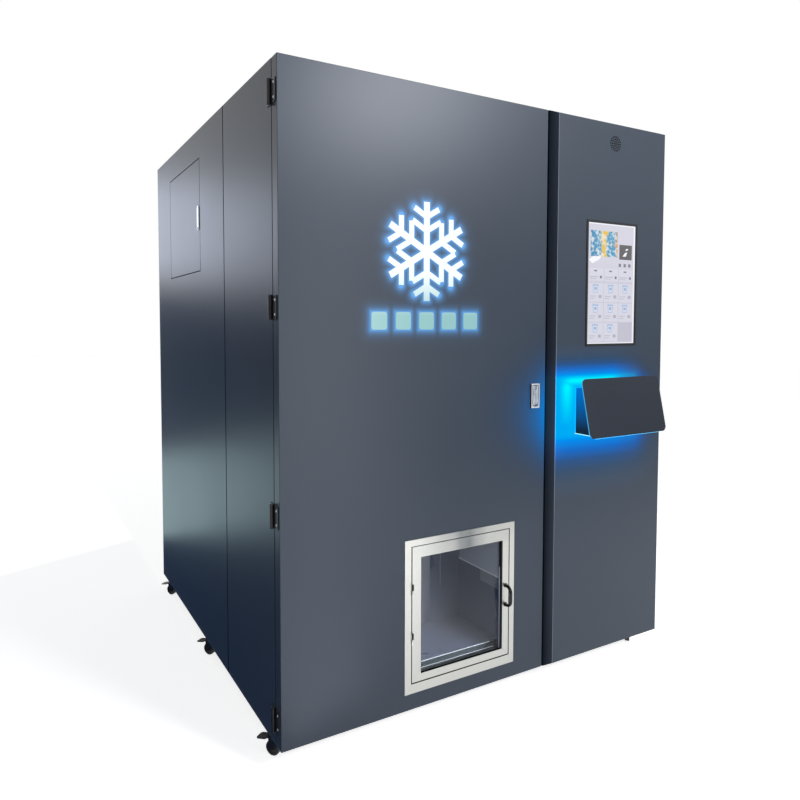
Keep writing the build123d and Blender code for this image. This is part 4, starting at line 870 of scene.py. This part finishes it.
def brushed(name, dark, bright, rough, mitre=None, seal=None):
    """Brushed steel. Its grain runs upright, or along each rail of a mitred frame. A frame's top
    rail carries a painted dark reflection in cloudy streaks, and a black line follows the opening
    that it closes."""
    material = new_material(name, bright, rough[0], 1.0)
    point = object_point(material)
    height = streaks(point, (grain_across, grain_across, grain_along))
    if mitre:
        low, high = mitre
        x, _, z = split(point)
        lead = minus(minus(size_of(minus(x, (low.x + high.x) / 2)), (high.x - low.x) / 2),
                     minus(size_of(minus(z, (low.z + high.z) / 2)), (high.z - low.z) / 2))
        level = streaks(point, (grain_along, grain_across, grain_across))
        height = node(material, "Mix", {0: greater(lead, 0.0), 2: level, 3: height}).outputs[0]
    tone = blend(height, dark, bright)
    if mitre:
        tone = blend(less(size_of(lead), mitre_half), tone, mitre_tone)
        # The top rail's painted dark reflection, in cloudy streaks across the rail.
        painted_reflection = spread(streaks(point, painted_reflection_scale, 2), *painted_reflection_clouds)
        top = spread(z, high.z - rail_width - rail_blend, high.z - rail_width)
        painted_reflection = times(times(painted_reflection, top), ramp(spread(x, *painted_reflection_span), painted_reflection_stops))
        tone = blend(painted_reflection, tone, painted_reflection_tone)
    if seal:
        tone = blend(less(outside_frame(x, z, *seal), seal_width), tone, seal_tone)
    finish(material, {"Base Color": tone, "Roughness": spread(height, 0, 1, *rough)})
    bumped(material, height, scratch_depth)
    return material


leaf_low, leaf_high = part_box("window_leaf")
seal_low = (leaf_low.x + 0.0027, leaf_low.z)
seal_high = (leaf_high.x - 0.0010, leaf_high.z + 0.0012)
dress(("window_frame",), brushed("brushed_steel_surround", steel_dark, steel, steel_rough,
                                 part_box("window_frame"), (seal_low, seal_high)), steel_ease)
dress(("window_leaf",), brushed("brushed_steel_leaf", steel_dark, steel, steel_rough,
                                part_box("window_leaf")), steel_ease)

# The pane is tempered glass with a faint smear, and the D handle is a glossy black casting
# that stands on the leaf's right rail.
glass_tint = (0.80, 0.85, 0.88)
glass_bend = 1.2
dust_scale = 9.0
dust_roughness = 0.012
pane = new_material("hatch_glass", glass_tint, 0.02)
dust = spread(noise(object_point(pane), dust_scale, 6), to_high=dust_roughness)
finish(pane, {"Transmission Weight": 1, "IOR": glass_bend, "Roughness": dust})
pane_clear = node(pane, "BsdfTransparent", {"Color": glass_tint})
pane_mix = node(pane, "MixShader",
                {0: node(pane, "LightPath").outputs["Is Shadow Ray"],
                 1: pane.node_tree.nodes["Principled BSDF"].outputs[0],
                 2: pane_clear.outputs[0]})
put(pane.node_tree.nodes["Material Output"], {"Surface": pane_mix.outputs[0]})
dress(("window_glass",), pane)
grip_black = mottled("grip_black", (0.003, 0.003, 0.003), (0.007, 0.007, 0.007), 60,
                     (0.08, 0.16))
finish(grip_black, {"Specular IOR Level": 0.25})
dress(("window_handle",), grip_black)

# A black rubber bead holds the pane in the leaf, widest on the right reveal. Beside it a thin
# glowing strip is a painted highlight on the pane's polished edge.
bead_front = -0.806
bead_back = -0.7965
bead_right = 0.0085
bead_thin = 0.0015
bead_wide_ease = 0.001
bead_ease = 0.0005
pane_left, pane_right = -0.337, 0.022
pane_foot, pane_top = 0.191, 0.598
edge_span = (0.0115, 0.0100)
edge_setback = 0.004
edge_thick = 0.0006
edge_top = 0.500
bead_rubber = fine_grained("pane_bead_rubber", (0.003, 0.003, 0.003), (0.006, 0.006, 0.006),
                           rubber_dust, rubber_roughness, rubber_grain, 0.00006, 0.12)
trim("pane_bead", bead_rubber, "delivery_hatch",
     ((pane_right - bead_right, bead_front, pane_foot), (pane_right, bead_back, pane_top),
      bead_wide_ease),
     ((pane_left, bead_front, pane_foot), (pane_left + bead_thin, bead_back, pane_top),
      bead_ease),
     *(((pane_left + bead_thin, bead_front, level),
        (pane_right - bead_right, bead_back, level + bead_thin), bead_ease)
       for level in (pane_foot, pane_top - bead_thin)))
# A painted highlight: a thin glowing strip on the pane's right edge.
trim("pane_edge_painted_highlight", lit("pane_edge_painted_highlight", (0.20, 0.21, 0.26)), "delivery_hatch",
     ((pane_right - edge_span[0], bead_front + edge_setback, pane_foot + edge_setback),
      (pane_right - edge_span[1], bead_front + edge_setback + edge_thick, edge_top), hair))

# The compartment behind the hatch is lined in satin grey sheet, with folded strips on its back
# and a lighter sheet high on its right wall, darker towards the back. A painted glow of light
# lies on the lining, strongest low on the left. A low sill with two beads crosses its front; the
# beads and the wall's seam glow as painted highlights. A cool light tube stands in its left
# corner.
painted_light_colour = (0.098, 0.098, 0.112)
painted_light_height = (0.40, 0.19)
painted_light_across = (0.05, -0.09)
bay_floor_span = (0.170, 0.163)
bay_lining = mottled("bay_lining", (0.060, 0.076, 0.125), (0.078, 0.094, 0.150), 5,
                     (0.24, 0.34), 0.3)
bay_x, _, bay_z = split(object_point(bay_lining))
# Painted light on the lining, strongest low on the left.
painted_light = times(spread(bay_z, *painted_light_height), spread(bay_x, *painted_light_across, 0.25, 1.0))
glow(bay_lining, tinted(painted_light, painted_light_colour))
steep(bay_lining, spread(bay_z, *bay_floor_span, 0.0, 0.75), (0.018, 0.024, 0.040))
dress(("delivery_box",), bay_lining)

bay_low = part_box("delivery_box")[0]
bay_right_x = 0.061
bay_back_y = -0.482
sheet_top = 0.640
sheet_seam_z = 0.4295
sheet_ease = 0.0006
pale_proud = 0.0022
pale_short = 0.003
rib_proud = 0.0025
ribs = ((-0.150, -0.084, 0.1625), (-0.034, -0.031, 0.33))
backing_proud = 0.0014
backing_foot = 0.383
backing_back_y = -0.6256
backing_ease = 0.0004
bay_inset = 0.004
pale_stops = ((0.0, (0.54, 0.55, 0.60)), (0.94, (0.36, 0.365, 0.42)),
              (0.985, (0.25, 0.235, 0.265)), (1.0, (0.25, 0.235, 0.265)))
pale_sheet = mottled("bay_pale_sheet", (0.32, 0.325, 0.37), (0.38, 0.385, 0.43), 6,
                     (0.28, 0.38), 0.4)
pale_depth = spread(split(object_point(pale_sheet))[1], bay_low.y, bay_back_y)
finish(pale_sheet, {"Base Color": ramp(pale_depth, pale_stops)})
trim("bay_sheets", pale_sheet, "cabinet",
     ((bay_right_x - pale_proud, bay_low.y + bay_inset, sheet_seam_z),
      (bay_right_x - hair, bay_back_y - pale_short, sheet_top), sheet_ease),
     *(((left, bay_back_y - rib_proud, foot), (right, bay_back_y - hair, sheet_top),
        sheet_ease) for left, right, foot in ribs))
trim("bay_backing", mottled("bay_patch_sheet", (0.17, 0.18, 0.22), (0.22, 0.23, 0.27), 6,
                            (0.28, 0.38), 0.3), "cabinet",
     ((bay_right_x - backing_proud, bay_low.y + bay_inset, backing_foot),
      (bay_right_x - hair, backing_back_y, sheet_seam_z - 0.0015), backing_ease))
sill_left = leaf_low.x + 0.004
sill_right = leaf_high.x - 0.006
sill_front = -0.744
sill_thick = 0.003
sill_span = (0.1615, 0.1945)
trim("bay_sill", mottled("bay_sill_sheet", (0.085, 0.095, 0.10), (0.11, 0.12, 0.13), 12,
                         (0.36, 0.48), 0.2), "cabinet",
     ((sill_left, sill_front, sill_span[0]),
      (sill_right, sill_front + sill_thick, sill_span[1]), sheet_ease))
bead_painted_highlight = mottled("bay_bead_painted_highlight", (0.82, 0.82, 0.84), (0.90, 0.90, 0.92), 30,
                      (0.3, 0.4), 0.3)
# The beads glow as painted highlights.
finish(bead_painted_highlight, {"Emission Color": (1.0, 1.0, 0.96), "Emission Strength": 0.30})
sill_beads = ((0.1955, 0.012), (0.1735, 0.030))
seam_proud = 0.0028
seam_tall = 0.0008
trim("bay_beads", bead_painted_highlight, "cabinet",
     *(((sill_left, sill_front - 0.0010, level - 0.0010),
        (end, sill_front + 0.0012, level + 0.0006), backing_ease) for level, end in sill_beads),
     ((bay_right_x - seam_proud, bay_low.y + bay_inset, sheet_seam_z - seam_tall),
      (bay_right_x - hair, bay_back_y - pale_short, sheet_seam_z), hair))
tube_left = leaf_low.x - 0.014
tube_front = bay_low.y + 0.012
tube_wide = 0.008
tube_deep = 0.012
tube_ease = 0.002
trim("bay_light_tube", lit("bay_light_tube", (0.85, 0.92, 1.0), 3.0), "cabinet",
     ((tube_left, tube_front, leaf_low.z + 0.05),
      (tube_left + tube_wide, tube_front + tube_deep, leaf_high.z - 0.02), tube_ease))


# The latch and the side hatch's lock are chromed castings. The latch has a raised rim, whose left
# flank on the hinge side is darkened as painted shade.
latch_low, latch_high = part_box("latch_housing")
latch_face = -0.8079
rim_face = -0.8155
rim_wall = 0.0045
rim_ease = 0.0008
painted_shade_dark = (0.010, 0.010, 0.012)
dress(("latch_housing", "side_lock_housing", "side_lock_handle"),
      mottled("lock_chrome", (0.68, 0.70, 0.73), (0.80, 0.82, 0.85), 120, (0.26, 0.38), 0.55))
rim_chrome = mottled("latch_rim_chrome", (0.74, 0.77, 0.82), (0.86, 0.89, 0.93), 90,
                     (0.26, 0.36), 0.45)
rim_x = split(object_point(rim_chrome))[0]
# Painted shade on the rim's outer left flank.
steep(rim_chrome, spread(rim_x, latch_low.x + 0.0006, latch_low.x + 0.0002), painted_shade_dark)
rim = bmesh.new()
loops = []
for inset, level in ((0, latch_face), (0, rim_face + rim_ease), (rim_ease, rim_face),
                     (rim_wall - rim_ease, rim_face), (rim_wall, rim_face + rim_ease),
                     (rim_wall, latch_face)):
    left, right = latch_low.x + inset, latch_high.x - inset
    foot, top = latch_low.z + inset, latch_high.z - inset
    loops.append([rim.verts.new((x, level, z)) for x, z in
                  ((left, foot), (right, foot), (right, top), (left, top))])
skin(rim, zip(loops, loops[1:] + loops[:1]))
bmesh.ops.recalc_face_normals(rim, faces=rim.faces)
latch_rim = mesh_piece("latch_rim", rim, rim_chrome)
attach(latch_rim, "main_door")

# The latch's flap is drawn steel, plated, with a slotted key cylinder near its top. Its streaks
# carry painted dark and bright reflections, and a line all round it, the key's outline and the
# slot are painted shade. It lifts about its lower end to draw the bolt.
flap_low, flap_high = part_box("latch_handle")
flap_edge = rim_wall + 0.0004
flap_middle = (latch_low.x + latch_high.x) / 2
flap_half = (latch_high.x - latch_low.x) / 2 - flap_edge
shadow_line = 0.0022
key_radius = 0.0072
key_line = 0.0008
key_z = latch_high.z - flap_edge - 0.0115
slot_half = (0.0009, 0.0045)
slot_edge = 0.00001
flap_grain = (420.0, 60.0, 26.0)
flap_streaks = (0.36, 0.62)
flap_reflection_tones = ((0.14, 0.16, 0.20), (0.80, 0.85, 0.91))
flap_roughness = (0.24, 0.38)
flap_chrome = new_material("latch_flap_chrome", (0.80, 0.82, 0.85), 0.3, 0.5)
# The streaks carry painted dark and bright reflections as well as the grain.
drawn = spread(streaks(object_point(flap_chrome), flap_grain), *flap_streaks)
finish(flap_chrome, {"Base Color": blend(drawn, *flap_reflection_tones),
                     "Roughness": spread(drawn, 0, 1, *flap_roughness)})
flap_x, _, flap_z = split(object_point(flap_chrome))
past_edge = outside_frame(flap_x, flap_z,
                          (flap_middle - flap_half + shadow_line, flap_low.z + shadow_line),
                          (flap_middle + flap_half - shadow_line, flap_high.z - shadow_line))
from_key = hypot(outside(flap_x, flap_middle), outside(flap_z, key_z))
past_slot = outside_frame(flap_x, flap_z, (flap_middle - slot_half[0], key_z - slot_half[1]),
                          (flap_middle + slot_half[0], key_z + slot_half[1]))
# Painted shade along the flap's edge, round the key and in its slot.
steep(flap_chrome,
      most(greater(past_edge, 0.0),
           most(less(outside(from_key, key_radius), key_line), less(past_slot, slot_edge))),
      painted_shade_dark)
dress(("latch_handle",), flap_chrome)
cover_face = -0.8140
cover_foot = 1.0955
trim("latch_flap_cover", flap_chrome, "latch_handle",
     ((flap_middle - flap_half, cover_face, cover_foot),
      (flap_middle + flap_half, latch_face - 0.0001, flap_high.z), 0.0010))

# Hinges and the casters' steel parts are pressed steel, coated black. The six casters are
# bolted on in three rows, and their wheels have a dark rubber tread.
caster_names = [row + "_" + side for side in ("left", "right")
                for row in ("front", "middle", "rear")]
dress(["cabinet_hinge_leaves", "door_hinge_leaves", "caster_plates"]
      + ["caster_" + part + "_" + name for part in ("fork", "brake") for name in caster_names],
      powder_coat("black_steel", (0.010, 0.010, 0.011), (0.020, 0.020, 0.022), (0.32, 0.44),
                  0.5))
dress(["caster_wheel_" + name for name in caster_names],
      fine_grained("caster_tread", (0.014, 0.014, 0.015), (0.034, 0.033, 0.031), 140,
                   (0.55, 0.7), 1500, 0.00005))

# Each hinge leaf is held by two low screws, and the panels at the back and on the roof by
# button head screws. All are zinc plated steel with a hexagon socket.
head_profile = ((0.30, 0.34), (0.42, 0.36), (0.52, 0.95), (0.60, 1.0), (0.82, 0.82),
                (0.96, 0.42), (1.0, 0.0))
head_sides = 18
socket_share = 0.5
sixth = math.pi / 3
screw_zinc = mottled("zinc_screw", (0.40, 0.40, 0.40), (0.56, 0.56, 0.55), 400, (0.22, 0.4), 1.0)


def screw_heads(name, places, direction, radius, height, body):
    """Button heads, each turned from one profile, sunk at its middle for the key."""
    turned = Vector(direction).to_track_quat("Z", "Y").to_matrix().to_4x4()
    heads = bmesh.new()
    for place in places:
        rings = []
        for across, rise in head_profile:
            ring = []
            for step in range(head_sides):
                angle = 2 * math.pi * step / head_sides
                reach = across * radius
                if across < socket_share:
                    reach *= math.cos(sixth / 2) / math.cos(angle % sixth - sixth / 2)
                spot = Vector((reach * math.cos(angle), reach * math.sin(angle), rise * height))
                ring.append(heads.verts.new(Vector(place) + turned @ spot))
            rings.append(ring)
        skin(heads, zip(rings, rings[1:]))
        heads.faces.new(list(reversed(rings[0])))
    bmesh.ops.recalc_face_normals(heads, faces=heads.faces)
    piece = mesh_piece(name, heads, screw_zinc)
    for polygon in piece.data.polygons:
        polygon.use_smooth = True
    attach(piece, body)


fixed_low, fixed_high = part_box("cabinet_hinge_leaves")
hinge_tall = 0.075
hinge_pitch = 0.644
hinge_count = 4
hinge_face = -0.853
screw_inset = 0.012
screw_offset = 0.022
hinge_middles = [fixed_low.z + hinge_tall / 2 + hinge_pitch * number
                 for number in range(hinge_count)]
for node_name, body, screw_y in (
        ("door_hinge_leaves", "main_door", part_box("door_hinge_leaves")[0].y + screw_inset),
        ("cabinet_hinge_leaves", "cabinet", fixed_high.y - screw_inset)):
    places = [(hinge_face, screw_y, middle + side * screw_offset) for middle in hinge_middles
              for side in (-1, 1)]
    screw_heads(node_name + "_screws", places, (-1, 0, 0), 0.0042, 0.0014, body)

rear_low, rear_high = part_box("rear_panel")
roof_low, roof_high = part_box("roof_panel")
edge_inset = 0.035
button_radius = 0.0055
button_height = 0.0028


def spaced(low, high, count):
    """Evenly spaced places with an inset at both ends."""
    return [low + edge_inset + (high - low - 2 * edge_inset) * step / (count - 1)
            for step in range(count)]


rear_places = [(x, rear_high.y, z) for x in (rear_low.x + edge_inset, rear_high.x - edge_inset)
               for z in spaced(rear_low.z, rear_high.z, 7)]
rear_places += [(x, rear_high.y, z) for x in spaced(rear_low.x, rear_high.x, 6)[1:-1]
                for z in (rear_low.z + edge_inset, rear_high.z - edge_inset)]
screw_heads("rear_panel_screws", rear_places, (0, 1, 0), button_radius, button_height, "cabinet")
roof_places = [(x, y, roof_high.z) for x in (roof_low.x + edge_inset, roof_high.x - edge_inset)
               for y in spaced(roof_low.y, roof_high.y, 6)]
screw_heads("roof_screws", roof_places, (0, 0, 1), button_radius, button_height, "cabinet")


# Inside, the chassis, the partition and the electrical box are primed grey, the ice parts are
# food-safe plastic and stainless steel, and the condensing unit is as its makers leave it.
dress(("chassis_frame", "tower_partition", "electrical_box"),
      powder_coat("inner_steel", (0.26, 0.28, 0.30), (0.32, 0.34, 0.36), (0.45, 0.6), 0.4))
dress(("ice_bin",), fine_grained("insulated_liner", (0.60, 0.61, 0.62), (0.68, 0.69, 0.70), 3,
                                 (0.38, 0.5), 500, 0.00006))
dress(("ice_maker", "auger"), brushed("stainless", steel_dark, steel, (0.24, 0.4)))
dress(("auger_gearmotor",), fine_grained("motor_grey", (0.13, 0.15, 0.17), (0.18, 0.20, 0.22),
                                         20, (0.4, 0.55), 700, 0.0002))
dress(("compressor",), mottled("compressor_black", (0.012, 0.012, 0.013), (0.026, 0.026, 0.027),
                               15, (0.18, 0.34)))
dress(("condenser_coil",), brushed("coil_aluminium", (0.56, 0.57, 0.58), (0.72, 0.73, 0.74),
                                   (0.3, 0.45)))
dress(("service_fittings",), mottled("fitting_brass", (0.48, 0.33, 0.15), (0.68, 0.50, 0.24),
                                     90, (0.2, 0.4), 1.0))
